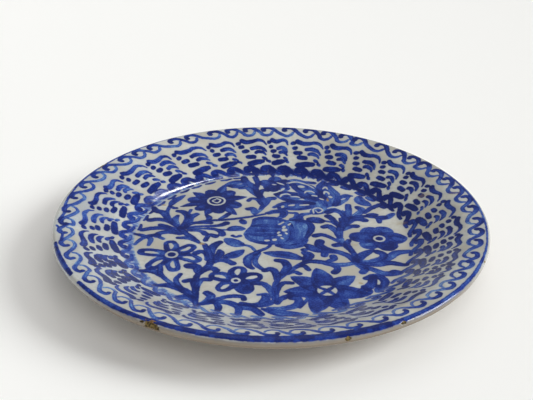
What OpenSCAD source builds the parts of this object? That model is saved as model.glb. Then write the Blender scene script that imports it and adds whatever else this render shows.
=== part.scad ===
// Hand painted tin-glazed dish: one thrown body, its glaze coats and its cobalt painting.
// Millimetres, +Z up. The origin is on the table, under the middle of the foot ring.

/* [Dish] */
// Diameter over the rolled lip
dish_d = 400; // [360:5:440]
// Height of the well's floor above the table
floor_z = 13; // [12:0.5:16]
// Slope of the wall, in degrees from level
wall_slope = 25; // [22:0.5:28]
// Thickness of the wall, measured straight down
wall_t = 7.5; // [6.5:0.5:8]
// Radius of the rolled edge
lip_ball_r = 3.7; // [3.4:0.1:4.2]

/* [Foot] */
// Outer diameter of the foot ring
foot_d = 184; // [160:4:200]
// Width of the foot ring
foot_w = 12; // [9:1:14]
// Depth of the hollow inside the foot ring
foot_recess = 3.5; // [2.5:0.25:3.75]

/* [Coats] */
// Thickness of the tin glaze
glaze_t = 0.5; // [0.4:0.05:0.8]
// Thickness of the painted cobalt where it lies on flat glaze
paint_t = 0.15; // [0.1:0.05:0.3]

/* [Border] */
// Number of scrolls under the lip
scroll_count = 57; // [50:1:62]
// Number of comma groups on the wall
comma_count = 32; // [28:1:34]
// Number of scrolls in the ring at the foot of the wall
well_scroll_count = 48; // [40:1:52]

/* [Hidden] */
$fn = 96;

// The layout is drawn for a dish 400 across, and k scales it to dish_d.
k = dish_d / 400;
well_r = 131 * k;                 // where the floor turns up into the wall
fold_r = 25 * k;                  // radius of that turn
shoulder_r = 176 * k;             // where the wall starts to level out
rim_r = 190 * k;                  // where it is almost level
lip_r = dish_d / 2 - lip_ball_r;  // centre of the rolled edge
rim_slope = 4;
foot_r = foot_d / 2;
foot_bare_h = 0.8;                // the glaze is wiped off this far up the foot
fold_run = fold_r * tan(wall_slope / 2);
shoulder_z = floor_z + (shoulder_r - well_r) * tan(wall_slope);
shoulder_arc = (rim_r - shoulder_r) / (sin(wall_slope) - sin(rim_slope));
rim_z = shoulder_z + shoulder_arc * (cos(rim_slope) - cos(wall_slope));
lip_z = rim_z + 1 - lip_ball_r;
big = dish_d;
cobalt = "#24409a";
deep_cobalt = "#1b2a78";
white_glaze = "#cfc8bd";
bare_clay = "#a9744a";

// ---- profiles -------------------------------------------------------------------------------------

// Points of the face from the centre out, lowered by t
function face_points(t) = concat(
    [[0, floor_z - t]],
    [for (a = [0 : 5 : wall_slope])
        [well_r - fold_run + fold_r * sin(a), floor_z - t + fold_r * (1 - cos(a))]],
    [for (a = [wall_slope : -5 : rim_slope])
        [rim_r - shoulder_arc * (sin(a) - sin(rim_slope)), rim_z - t - shoulder_arc * (cos(rim_slope) - cos(a))]],
    [[rim_r, rim_z - t], [lip_r, rim_z + 1 - t]]);

// Points of the back from the lip in to the centre, raised by t
function back_points(t) = [
    [lip_r, lip_z - lip_ball_r + t],
    [rim_r - 2, rim_z - wall_t + t],
    [shoulder_r, shoulder_z - wall_t + t],
    [well_r + 3, floor_z + 3 * tan(wall_slope) - wall_t + t],
    [foot_r + 4, 4.4 + t],
    [foot_r - t, 3 + t],
    [foot_r - t, 0],
    [foot_r - foot_w + t, 0],
    [foot_r - foot_w + t, foot_recess + t],
    [0, foot_recess + t]];

// The whole dish, with every glazed face moved in by t
module dish(t) {
    rotate_extrude() polygon(concat(face_points(t), back_points(t)));
    translate([0, 0, lip_z]) rotate_extrude() translate([lip_r, 0]) circle(lip_ball_r - t);
}

// The space above the middle of the wall: it parts the face from the back
module face_side() {
    rotate_extrude() polygon([
        [0, floor_z - 3], [well_r, floor_z - 3], [shoulder_r, shoulder_z - 3], [rim_r, rim_z - 3],
        [lip_r, lip_z], [dish_d, lip_z], [dish_d, 3 * floor_z + 40], [0, 3 * floor_z + 40]]);
}

// ---- brush strokes --------------------------------------------------------------------------------

// A point on the smooth curve through p0..p3, between p1 and p2
function on_curve(p0, p1, p2, p3, u) =
    0.5 * (2 * p1 + (p2 - p0) * u + (2 * p0 - 5 * p1 + 4 * p2 - p3) * u * u
           + (3 * p1 - p0 - 3 * p2 + p3) * u * u * u);

function at_end(p, i) = p[min(max(i, 0), len(p) - 1)];

// The curve through all the points of p, with steps points on each stretch
function smooth(p, steps) = concat(
    [for (i = [0 : len(p) - 2], u = [0 : 1 / steps : 0.99])
        on_curve(at_end(p, i - 1), p[i], p[i + 1], at_end(p, i + 2), u)],
    [p[len(p) - 1]]);

// Half the width at share u of the stroke, from its widths w at the start, middle and end
function half_width(w, u) =
    (w[0] * (1 - u) * (1 - 2 * u) + 4 * w[1] * u * (1 - u) + w[2] * u * (2 * u - 1)) / 2;

function unit(v) = v / norm(v);
function side(v) = [-v[1], v[0]];
function tail(v) = [for (i = [1 : len(v) - 1]) v[i]];

// Outline of one stroke: its left side, a blunt end, its right side and a blunt start
function outline(c, w) =
    let (n = len(c) - 1,
         d = [for (i = [0 : n]) unit(at_end(c, i + 1) - at_end(c, i - 1))],
         h = [for (i = [0 : n]) max(half_width(w, i / n), 0.6)])
    concat([for (i = [0 : n]) c[i] + side(d[i]) * h[i]],
           [c[n] + d[n] * h[n]],
           [for (i = [n : -1 : 0]) c[i] - side(d[i]) * h[i]],
           [c[0] - d[0] * h[0]]);

// One stroke: s[0] is its three widths and the rest are its points
module stroke(s, steps = 2) {
    polygon(outline(smooth(tail(s), steps), s[0]));
}

// Strokes laid on the floor of the well
module painted_floor(strokes) {
    translate([0, 0, floor_z]) linear_extrude(paint_t) scale(k)
        for (s = strokes) stroke(s);
}

// A stroke laid on the sloping face at radius r and angle a: x runs clockwise and y outwards.
// It is flat, so it is sunk by dip into the glaze to stay on the curved wall along its length.
module painted_wall(r, z, slope, a, dip) {
    rotate([0, 0, a]) translate([r, 0, z]) rotate([0, -slope, 0]) rotate([0, 0, -90])
        translate([0, 0, -dip]) linear_extrude(dip + paint_t) children();
}

function wall_z(r) = floor_z + (r - well_r) * tan(wall_slope);

// ---- layout of the painting, drawn for a dish 400 across -------------------------------------------

// A stroke is its widths at the start, middle and end, and then the points it runs through.
// Wall and border strokes are drawn round their own place: x runs clockwise and y outwards.
SCROLL = [[5, 5, 4], [-8, -1], [-6, 4], [-1, 7], [5, 3], [10, -4], [16, -7], [20, -3]];
WAVE = [[7, 5, 3], [-12, 2], [-7, -1], [0, 0], [7, 3], [13, -3]];
COMMA = [[6, 4, 2], [-7, 1], [-1, 2], [6, -3]];
SMALL_COMMA = [[5, 4, 2], [-4, 1], [0, 1], [4, -2]];
WELL_SCROLL = [[6, 5, 4], [-6, 0], [-2, 4], [4, 0], [11, -4]];

// Stem under the fruit, and the trunk that climbs from the near side
TRUNK_VINE = [
    [[3, 4, 6], [0, -13], [-2, -19], [-10, -26], [-15, -31]],
    [[4, 8, 4], [-11, -27], [-20, -38], [-20, -50], [-16, -56]],
    [[3, 5, 4], [-10, -30], [-14, -42], [-12, -51], [-5, -59]],
    [[6, 5, 5], [-24, -112], [-8, -114], [2, -109], [5, -100], [4, -88], [6, -76], [12, -66], [22, -54], [31, -44]],
    [[5, 7, 5], [29, -46], [36, -43], [46, -44], [56, -48], [66, -48], [78, -44]],
    [[6, 6, 3], [-14, -80], [-6, -81], [0, -90], [3, -104]],
    [[6, 7, 5], [-5, -59], [1, -57], [5, -64], [6, -76]],
    [[6, 8, 6], [6, -42], [12, -44], [15, -53], [11, -64]],
    [[5, 4, 2], [26, -64], [21, -61], [14, -66]],
    [[2, 5, 5], [23, -53], [30, -51], [34, -57]],
    [[5, 5, 3], [19, -79], [12, -79], [8, -85], [6, -96]],
    [[5, 6, 6], [6, -110], [9, -104], [17, -98]],
    [[6, 7, 2], [18, -102], [24, -103], [22, -113], [10, -118], [-2, -117]],
    [[3, 9, 3], [-6, -119], [8, -125], [20, -126], [31, -127]],
    [[3, 3, 2], [25, -116], [29, -109], [34, -98]],
    [[3, 4, 3], [-10, -98], [-3, -97], [-2, -106], [-10, -111], [-20, -113]],
    [[4, 7, 3], [-5, -99], [-4, -104], [-8, -109]]];

// Fan of leaves at the near left
LOWER_FAN = [
    [[2, 7, 6], [-60, -115], [-48, -110], [-36, -110], [-25, -116], [-14, -119], [-7, -127]],
    [[4, 6, 6], [-46, -111], [-43, -116], [-43, -121]],
    [[5, 6, 6], [-29, -114], [-26, -119], [-26, -126]],
    [[2, 5, 5], [-60, -114], [-48, -107], [-35, -101], [-24, -101], [-22, -105]],
    [[7, 7, 3], [-54, -96], [-50, -101], [-53, -108], [-60, -114]],
    [[8, 7, 3], [-77, -104], [-70, -102], [-64, -108], [-61, -117]],
    [[3, 6, 5], [-62, -117], [-63, -104], [-64, -90], [-65, -78], [-64, -68]],
    [[5, 7, 5], [-65, -70], [-60, -60], [-55, -52], [-54, -44], [-56, -33], [-61, -16]],
    [[9, 9, 5], [-73, -53], [-66, -55], [-63, -66]],
    [[7, 6, 3], [-48, -60], [-51, -57], [-56, -58], [-62, -66]],
    [[7, 6, 4], [-34, -48], [-41, -43], [-48, -44], [-55, -50]],
    [[2, 11, 2], [-25, -25], [-33, -33], [-43, -38]],
    [[2, 2, 2], [-40, -38], [-46, -38], [-52, -42]],
    [[4, 8, 3], [-47, -26], [-46, -32], [-50, -41]],
    [[7, 5, 5], [-68, -31], [-64, -28], [-59, -32], [-57, -42]],
    [[6, 9, 5], [-47, -11], [-52, -17], [-55, -27], [-54, -41]],
    [[6, 5, 3], [-53, -75], [-60, -76], [-63, -87], [-63, -102]],
    [[6, 6, 3], [-74, -78], [-68, -77], [-65, -87], [-63, -102]],
    [[4, 5, 3], [-79, -67], [-82, -77], [-76, -90], [-64, -106]],
    [[4, 8, 3], [-99, -86], [-88, -85], [-76, -91], [-66, -101], [-62, -114]],
    [[5, 4, 2], [-98, -56], [-96, -68], [-89, -78], [-76, -92], [-64, -108]],
    [[5, 7, 3], [-114, -63], [-106, -62], [-99, -66], [-92, -74]]];

// Fan of commas at the left
LEFT_FAN = [
    [[5, 6, 3], [-87, 15], [-80, 4], [-73, -4], [-66, -13]],
    [[4, 6, 3], [-87, -4], [-78, -4], [-71, -8], [-66, -13]],
    [[6, 7, 5], [-122, 10], [-114, 13], [-102, 14], [-88, 11]],
    [[5, 5, 3], [-106, 20], [-99, 17], [-89, 11]],
    [[7, 6, 4], [-117, 29], [-110, 31], [-100, 28], [-92, 20], [-86, 12]],
    [[4, 5, 3], [-88, 14], [-97, 28], [-102, 42], [-101, 58]],
    [[3, 8, 2], [-101, 58], [-97, 69], [-88, 81]],
    [[3, 4, 4], [-99, 57], [-96, 54], [-94, 54]],
    [[5, 8, 4], [-116, 54], [-113, 48], [-106, 44], [-101, 33]],
    [[3, 7, 3], [-91, 39], [-93, 30], [-89, 17]],
    [[5, 8, 5], [-92, 48], [-86, 46], [-81, 38], [-81, 28], [-85, 17]],
    [[3, 3, 3], [-79, 51], [-81, 42], [-81, 34]],
    [[6, 8, 4], [-73, 42], [-78, 36], [-80, 27], [-85, 16]],
    [[4, 4, 3], [-84, 14], [-76, 23], [-62, 29], [-47, 31], [-34, 34], [-18, 39], [-6, 44]],
    [[4, 6, 5], [-74, 25], [-66, 26], [-58, 25]],
    [[4, 4, 7], [-81, 15], [-70, 18], [-56, 19], [-48, 21], [-43, 25]],
    [[3, 4, 7], [-80, 13], [-66, 14], [-54, 13], [-47, 8], [-46, 3]],
    [[2, 3, 2], [-56, 14], [-48, 12], [-41, 12]],
    [[3, 10, 2], [-41, 12], [-34, 15], [-25, 14]],
    [[3, 4, 7], [-82, 9], [-72, 10], [-65, 8], [-62, 4]],
    [[7, 5, 5], [-52, 0], [-58, 2], [-61, -8]],
    [[4, 3, 4], [-36, 1], [-33, -1], [-29, 1]],
    [[7, 7, 8], [-107, -1], [-105, 4], [-97, 7], [-86, 5]],
    [[4, 4, 4], [-105, -3], [-101, -6]],
    [[6, 7, 6], [-28, 30], [-26, 26]],
    [[6, 5, 3], [-42, 43], [-45, 38], [-50, 33]],
    [[5, 6, 4], [-62, 39], [-60, 35], [-61, 31]],
    [[3, 13, 4], [-42, -5], [-34, -12], [-26, -16]],
    [[3, 3, 3], [-27, -15], [-19, -18], [-14, -26]]];

// Stem that climbs past the fruit to the far side
FAR_VINE = [
    [[2, 6, 6], [-16, 42], [-10, 54], [-7, 66], [-9, 76], [-14, 88]],
    [[6, 6, 6], [-14, 88], [-16, 99], [-14, 110], [-17, 123]],
    [[6, 7, 4], [-23, 54], [-18, 54], [-16, 44]],
    [[4, 5, 4], [-23, 71], [-20, 76], [-14, 74], [-10, 64]],
    [[7, 7, 3], [2, 77], [-3, 75], [-6, 65], [-11, 54]],
    [[6, 5, 4], [-4, 94], [-9, 94], [-11, 86], [-9, 75]],
    [[4, 7, 6], [-32, 98], [-25, 99], [-19, 91], [-12, 80]],
    [[7, 9, 6], [-45, 105], [-38, 111], [-29, 113]],
    [[5, 8, 5], [-43, 103], [-35, 102], [-27, 106]],
    [[6, 9, 4], [-29, 123], [-27, 113], [-20, 104], [-15, 94]],
    [[4, 5, 2], [-2, 45], [4, 48], [12, 47], [10, 39]],
    [[4, 4, 3], [-4, 46], [3, 50], [10, 50]]];

// Right hand stem with its commas
RIGHT_VINE = [
    [[5, 6, 7], [77, -42], [76, -28], [69, -14], [65, 0], [66, 18]],
    [[7, 7, 6], [66, 16], [71, 30], [76, 46], [77, 64]],
    [[7, 7, 4], [51, 20], [56, 21], [62, 12], [64, 0]],
    [[7, 5, 4], [42, 3], [48, 5], [55, 1], [63, -7]],
    [[3, 12, 7], [36, 35], [43, 33], [49, 31]],
    [[3, 3, 3], [50, 32], [59, 29], [65, 20]],
    [[8, 6, 4], [56, 41], [60, 35], [65, 23]],
    [[7, 6, 6], [56, 49], [62, 52], [69, 48], [73, 33]],
    [[6, 6, 4], [69, 36], [69, 29], [68, 20]],
    [[8, 7, 4], [91, 34], [86, 36], [79, 34], [73, 24]],
    [[7, 6, 3], [82, 22], [76, 21], [68, 13]],
    [[4, 5, 6], [76, 38], [90, 42], [103, 40], [111, 41]],
    [[3, 6, 4], [102, 41], [105, 36], [105, 30]],
    [[6, 8, 4], [86, 60], [90, 53], [80, 40]],
    [[5, 12, 5], [89, 82], [90, 73], [98, 65]],
    [[3, 6, 5], [92, 48], [99, 58], [110, 67]],
    [[3, 5, 5], [93, 42], [98, 46], [103, 45]],
    [[6, 7, 8], [119, 46], [113, 40], [106, 38]],
    [[5, 7, 9], [80, -47], [92, -56], [101, -62], [111, -61]],
    [[4, 8, 5], [80, -45], [95, -47], [108, -44], [122, -48]],
    [[5, 9, 6], [81, -43], [98, -42], [108, -34], [116, -26], [127, -24]],
    [[6, 7, 7], [92, -41], [101, -36], [103, -29], [98, -25]],
    [[6, 9, 4], [79, -40], [84, -31], [94, -22]],
    [[7, 7, 5], [82, -60], [84, -55], [78, -48]],
    [[6, 7, 7], [77, -43], [70, -32], [61, -26], [51, -26], [49, -32]],
    [[5, 5, 4], [30, -23], [34, -22]],
    [[6, 10, 5], [34, -15], [40, -21], [49, -25]],
    [[9, 7, 4], [46, -8], [45, -14], [52, -21], [62, -25]],
    [[7, 7, 5], [60, -14], [64, -13], [69, -14]],
    [[5, 6, 5], [73, -5], [71, -12], [75, -24]],
    [[7, 6, 3], [57, -34], [57, -39], [50, -43]],
    [[7, 6, 4], [57, -61], [60, -55], [57, -50], [50, -46]],
    [[6, 10, 5], [31, -28], [35, -33], [31, -42]],
    [[2, 12, 4], [-6, -29], [5, -31], [16, -33], [29, -39]],
    [[6, 8, 6], [84, -70], [93, -66], [100, -74], [96, -88]],
    [[6, 9, 4], [91, -68], [87, -81], [77, -91]],
    [[7, 5, 5], [82, -84], [86, -90], [84, -94]],
    [[4, 5, 4], [94, -82], [92, -90], [96, -92]],
    [[6, 7, 4], [114, -60], [108, -58]]];

BIRD = [
    // wings
    [[4, 7, 7], [3, 58], [12, 66], [26, 70], [42, 67]],
    [[4, 5, 5], [8, 56], [26, 54], [42, 59]],
    [[4, 6, 7], [4, 86], [12, 76], [22, 70], [36, 68]],
    [[5, 5, 6], [5, 86], [14, 90], [24, 86], [34, 80], [44, 74]],
    [[8, 8, 8], [22, 108], [26, 97], [34, 88], [46, 76]],
    [[5, 6, 7], [15, 105], [27, 110], [40, 104], [48, 92], [52, 78]],
    [[5, 5, 4], [14, 113], [27, 117], [38, 112], [44, 110]],
    // tail
    [[4, 9, 8], [54, 115], [50, 104], [50, 90], [55, 74]],
    [[4, 8, 8], [55, 114], [63, 98], [68, 84], [64, 64]],
    [[4, 5, 5], [82, 84], [75, 86], [69, 78], [67, 68]],
    // body and head
    [[12, 14, 8], [54, 74], [46, 66], [42, 58]],
    [[4, 5, 4], [41, 50], [46, 46], [52, 50], [50, 58]]];

FRUIT = [
    // left lobe, right lobe and the crown
    [[16, 25, 20], [2, 27], [-10, 24], [-13, 6], [-6, -2]],
    [[14, 24, 18], [24, 26], [29, 14], [25, -4], [16, -12]],
    [[10, 12, 8], [16, 24], [17, 8], [8, -8]],
    [[5, 6, 4], [26, 36], [30, 43], [38, 46]],
    [[4, 4, 3], [24, 38], [25, 46], [18, 47]]];
// Gaps left in the blue for the seeds
SEEDS = [[9, 26, 1.2], [18, 25, 1.2], [12, 19, 1.2], [13, 13, 2], [14, 7, 1.1], [8, 8, 1.2], [9, 3, 1.6], [3, -5, 1.6]];

// A blossom is its centre, the radius of its eye, and its petals as [direction, length, width]
BLOSSOMS = [
    [[-55, 70], 8, [[79, 37, 9], [54, 27, 13], [17, 32, 9], [-24, 27, 14], [-53, 36, 9], [-80, 26, 13],
                    [-107, 32, 9], [-134, 27, 12], [-160, 38, 8], [175, 29, 13], [144, 31, 10], [110, 25, 13]]],
    [[102, -1], 5, [[120, 22, 18], [70, 21, 18], [1, 25, 17], [-63, 21, 17], [-135, 22, 17], [168, 26, 16]]],
    [[49, -90], 8, [[103, 37, 16], [43, 35, 15], [-9, 37, 16], [-64, 34, 17], [-110, 37, 16],
                    [184, 38, 15], [146, 38, 15]]],
    [[-30, -76], 3, [[80, 20, 13], [31, 22, 13], [-67, 20, 14], [-135, 22, 13], [157, 23, 11]]],
    [[-90, -34], 5, [[99, 25, 11], [171, 32, 11], [226, 29, 11], [278, 27, 11], [-22, 28, 11], [40, 26, 11]]]];

// A dab of the brush: l long and w wide, with its corners cut
module bar(l, w) {
    cut = w * 0.3;
    polygon([[-l / 2 + cut, -w / 2], [l / 2 - cut, -w / 2], [l / 2, 0], [l / 2 - cut, w / 2],
             [-l / 2 + cut, w / 2], [-l / 2, 0]]);
}

// ---- parts ----------------------------------------------------------------------------------------

// Thrown body, with its foot left bare
module clay_body() {
    color(bare_clay) dish(glaze_t);
}

module glaze() {
    difference() {
        dish(0);
        dish(glaze_t);
        translate([0, 0, -1]) cylinder(r = big, h = 1 + foot_bare_h);
    }
}

module face_glaze() {
    color(white_glaze) intersection() {
        glaze();
        face_side();
    }
}

module back_glaze() {
    color(white_glaze) difference() {
        glaze();
        face_side();
    }
}

// Blue line along the top of the lip, sunk a little into the glaze
module cobalt_lip_line() {
    line_out = lip_r + 2;
    line_in = rim_r + 2.5;
    line_sunk = 0.3;
    color(deep_cobalt) difference() {
        intersection() {
            union() {
                rotate_extrude() polygon(concat(face_points(-paint_t), [[lip_r, 0], [0, 0]]));
                translate([0, 0, lip_z]) rotate_extrude() translate([lip_r, 0]) circle(lip_ball_r + paint_t);
            }
            translate([0, 0, lip_z + 1]) cylinder(r = line_out, h = big);
        }
        dish(line_sunk);
        translate([0, 0, -1]) cylinder(r = line_in, h = big);
    }
}

module cobalt_scroll_border() {
    scroll_r = 187 * k;
    color(cobalt) for (i = [0 : scroll_count - 1])
        painted_wall(scroll_r, rim_z - 0.9, 8, i * 360 / scroll_count, 0.5)
            scale(k * 0.95) stroke(SCROLL);
}

// Under each wave of the wall three commas shrink towards the well
module cobalt_comma_strokes() {
    step = 360 / comma_count;
    rows = [[173, 0, WAVE], [164.5, 1.5, COMMA], [157, 2.2, SMALL_COMMA], [150.5, 2.8, SMALL_COMMA]];
    color(cobalt) for (i = [0 : comma_count - 1], row = rows) {
        size = row[0] > 155 ? 1 : 0.75;
        painted_wall(row[0] * k, wall_z(row[0] * k), wall_slope, i * step - row[1], 0.3)
            scale(k * size) stroke(row[2]);
    }
}

// Between the waves a row of dots grows towards the well: two dots, then three bars
module cobalt_growing_dots() {
    step = 360 / comma_count;
    dots = [[171, 5, 2.2], [165.5, 4.4, 2.3]];
    bars = [[159.5, 3.6, 5, 5], [153, 2.4, 5.4, 9], [145.5, 1, 6, 17]];
    color(deep_cobalt) for (i = [0 : comma_count - 1]) {
        for (d = dots)
            painted_wall(d[0] * k, wall_z(d[0] * k), wall_slope, i * step + d[1], 0.3) circle(d[2] * k);
        for (b = bars)
            painted_wall(b[0] * k, wall_z(b[0] * k), wall_slope, i * step + b[1], 0.3) scale(k)
                bar(b[3], b[2]);
    }
}

module cobalt_well_scrolls() {
    ring_r = 137.5 * k;
    color(deep_cobalt) for (i = [0 : well_scroll_count - 1])
        painted_wall(ring_r, wall_z(ring_r) + 0.1, wall_slope - 3, i * 360 / well_scroll_count, 0.4)
            scale(k) stroke(WELL_SCROLL);
}

module cobalt_pomegranate() {
    color(cobalt) difference() {
        painted_floor(FRUIT);
        for (s = SEEDS)
            translate([s[0] * k, s[1] * k, floor_z - 1]) cylinder(r = s[2] * k, h = 2);
    }
}

module cobalt_bird() {
    color(cobalt) painted_floor(BIRD);
}

// Petals run out from the eye, which keeps a bare ring round a blue dot
module blossom(centre, eye_r, petals) {
    translate([centre[0] * k, centre[1] * k, floor_z]) scale([k, k, k]) difference() {
        linear_extrude(paint_t) for (p = petals)
            rotate(p[0]) stroke([[p[2] * 0.6, p[2], 3], [1, 0], [p[1] * 0.55, 0], [p[1] - 1, 0]]);
        translate([0, 0, -1]) difference() {
            cylinder(r = eye_r, h = 2);
            cylinder(r = eye_r - 2, h = 2);
        }
    }
}

module cobalt_blossoms() {
    color(cobalt) for (b = BLOSSOMS) blossom(b[0], b[1], b[2]);
}

module cobalt_trunk_vine() {
    color(cobalt) painted_floor(TRUNK_VINE);
}

module cobalt_lower_fan() {
    color(cobalt) painted_floor(LOWER_FAN);
}

module cobalt_left_fan() {
    color(cobalt) painted_floor(LEFT_FAN);
}

module cobalt_far_vine() {
    color(cobalt) painted_floor(FAR_VINE);
}

module cobalt_right_vine() {
    color(cobalt) painted_floor(RIGHT_VINE);
}

clay_body();
face_glaze();
back_glaze();
cobalt_lip_line();
cobalt_scroll_border();
cobalt_comma_strokes();
cobalt_growing_dots();
cobalt_well_scrolls();
cobalt_pomegranate();
cobalt_bird();
cobalt_blossoms();
cobalt_trunk_vine();
cobalt_lower_fan();
cobalt_left_fan();
cobalt_far_vine();
cobalt_right_vine();
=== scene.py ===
import math
import random

import bpy
import numpy as np
from mathutils import Matrix, Vector


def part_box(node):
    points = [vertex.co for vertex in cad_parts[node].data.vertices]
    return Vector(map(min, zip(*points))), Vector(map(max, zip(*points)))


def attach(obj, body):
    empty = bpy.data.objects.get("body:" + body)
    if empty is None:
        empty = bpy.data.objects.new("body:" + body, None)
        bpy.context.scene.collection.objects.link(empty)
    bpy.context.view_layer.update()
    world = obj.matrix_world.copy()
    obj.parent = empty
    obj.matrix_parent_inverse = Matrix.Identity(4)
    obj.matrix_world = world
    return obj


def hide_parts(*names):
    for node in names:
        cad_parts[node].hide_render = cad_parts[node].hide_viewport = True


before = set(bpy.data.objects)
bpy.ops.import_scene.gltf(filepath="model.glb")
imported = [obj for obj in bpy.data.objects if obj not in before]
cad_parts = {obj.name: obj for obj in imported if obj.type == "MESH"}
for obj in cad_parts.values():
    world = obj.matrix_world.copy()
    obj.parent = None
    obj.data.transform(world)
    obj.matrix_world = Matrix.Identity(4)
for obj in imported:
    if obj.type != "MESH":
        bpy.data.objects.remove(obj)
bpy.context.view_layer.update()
mm = 0.001

# Every size here is in millimetres, as the dish was drawn, and turned to metres where a mesh is made.
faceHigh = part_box("face_glaze")[1]
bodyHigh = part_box("clay_body")[1]
glazeThick = (faceHigh.z - bodyHigh.z) / mm

dish = {
    "outerRadius": faceHigh.x / mm,
    "floorHeight": 13.0,  # top of the glaze in the well, above the table
    "wellRadius": 131.0,  # where the floor turns up
    "foldRadius": 25.0,  # radius of that turn
    "wallSlope": 25.0,  # degrees from level
    "shoulderRadius": 176.0,
    "rimRadius": 190.0,
    "rimSlope": 4.0,
    "lipRise": 1.0,  # the lip's crest stands this far above the rim
    "lipBall": 3.7,  # radius of the rolled edge
    "wallThick": 7.5,
    "footRadius": 92.0,
    "footWidth": 12.0,
    "footRecess": 3.5,
    "footBare": 0.8,  # the glaze is wiped off this far up
    "warp": 0.45,  # how far the dish sagged in the kiln
    "warpSeed": 3.0,
    "sharpAngle": 40,  # degrees; an edge that turns more than this stays crisp
}


def srgb(code):
    values = [int(code[i : i + 2], 16) / 255 for i in (1, 3, 5)]
    return tuple(v / 12.92 if v <= 0.04045 else ((v + 0.055) / 1.055) ** 2.4 for v in values) + (1.0,)


def addNode(tree, kind, settings=None, links=None):
    # settings are the node's properties and the fixed values of its sockets; a link comes from a socket,
    # or from a node, which stands for its first socket in use
    node = tree.nodes.new(kind)
    for name, value in (settings or {}).items():
        if isinstance(name, int) or name in node.inputs:
            node.inputs[name].default_value = value
        else:
            setattr(node, name, value)
    for name, source in (links or {}).items():
        if isinstance(source, bpy.types.Node):
            source = next(socket for socket in source.outputs if socket.enabled)
        tree.links.new(source, node.inputs[name])
    return node


slope = math.radians(dish["wallSlope"])
rimSlope = math.radians(dish["rimSlope"])
lipRadius = dish["outerRadius"] - dish["lipBall"]  # middle of the rolled edge
foldRun = dish["foldRadius"] * math.tan(slope / 2)
shoulderHeight = dish["floorHeight"] + (dish["shoulderRadius"] - dish["wellRadius"]) * math.tan(slope)
shoulderArc = (dish["rimRadius"] - dish["shoulderRadius"]) / (math.sin(slope) - math.sin(rimSlope))
rimHeight = shoulderHeight + shoulderArc * (math.cos(rimSlope) - math.cos(slope))
lipHeight = rimHeight + dish["lipRise"] - dish["lipBall"]


def faceHeight(r):
    # height of the glazed face at radius r
    foldStart = dish["wellRadius"] - foldRun
    foldEnd = dish["wellRadius"] + foldRun * math.cos(slope)
    if r <= foldStart:
        return dish["floorHeight"]
    if r <= foldEnd:
        turn = math.asin((r - foldStart) / dish["foldRadius"])
        return dish["floorHeight"] + dish["foldRadius"] * (1 - math.cos(turn))
    if r <= dish["shoulderRadius"]:
        return dish["floorHeight"] + (r - dish["wellRadius"]) * math.tan(slope)
    if r <= dish["rimRadius"]:
        turn = math.asin((dish["rimRadius"] - r) / shoulderArc + math.sin(rimSlope))
        return rimHeight - shoulderArc * (math.cos(rimSlope) - math.cos(turn))
    return rimHeight + dish["lipRise"] * (r - dish["rimRadius"]) / (lipRadius - dish["rimRadius"])


def facePoints(start, end, gap, inset=0.0):
    count = max(2, round((end - start) / gap) + 1)
    return [(r, faceHeight(r) - inset) for r in np.linspace(start, end, count)]


def lipPoints(fromAngle, toAngle, count, inset=0.0):
    # round the rolled edge, 90 degrees is its top and 0 its outermost line
    ball = dish["lipBall"] - inset
    angles = [math.radians(a) for a in np.linspace(fromAngle, toAngle, count)]
    return [(lipRadius + ball * math.cos(a), lipHeight + ball * math.sin(a)) for a in angles]


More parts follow.
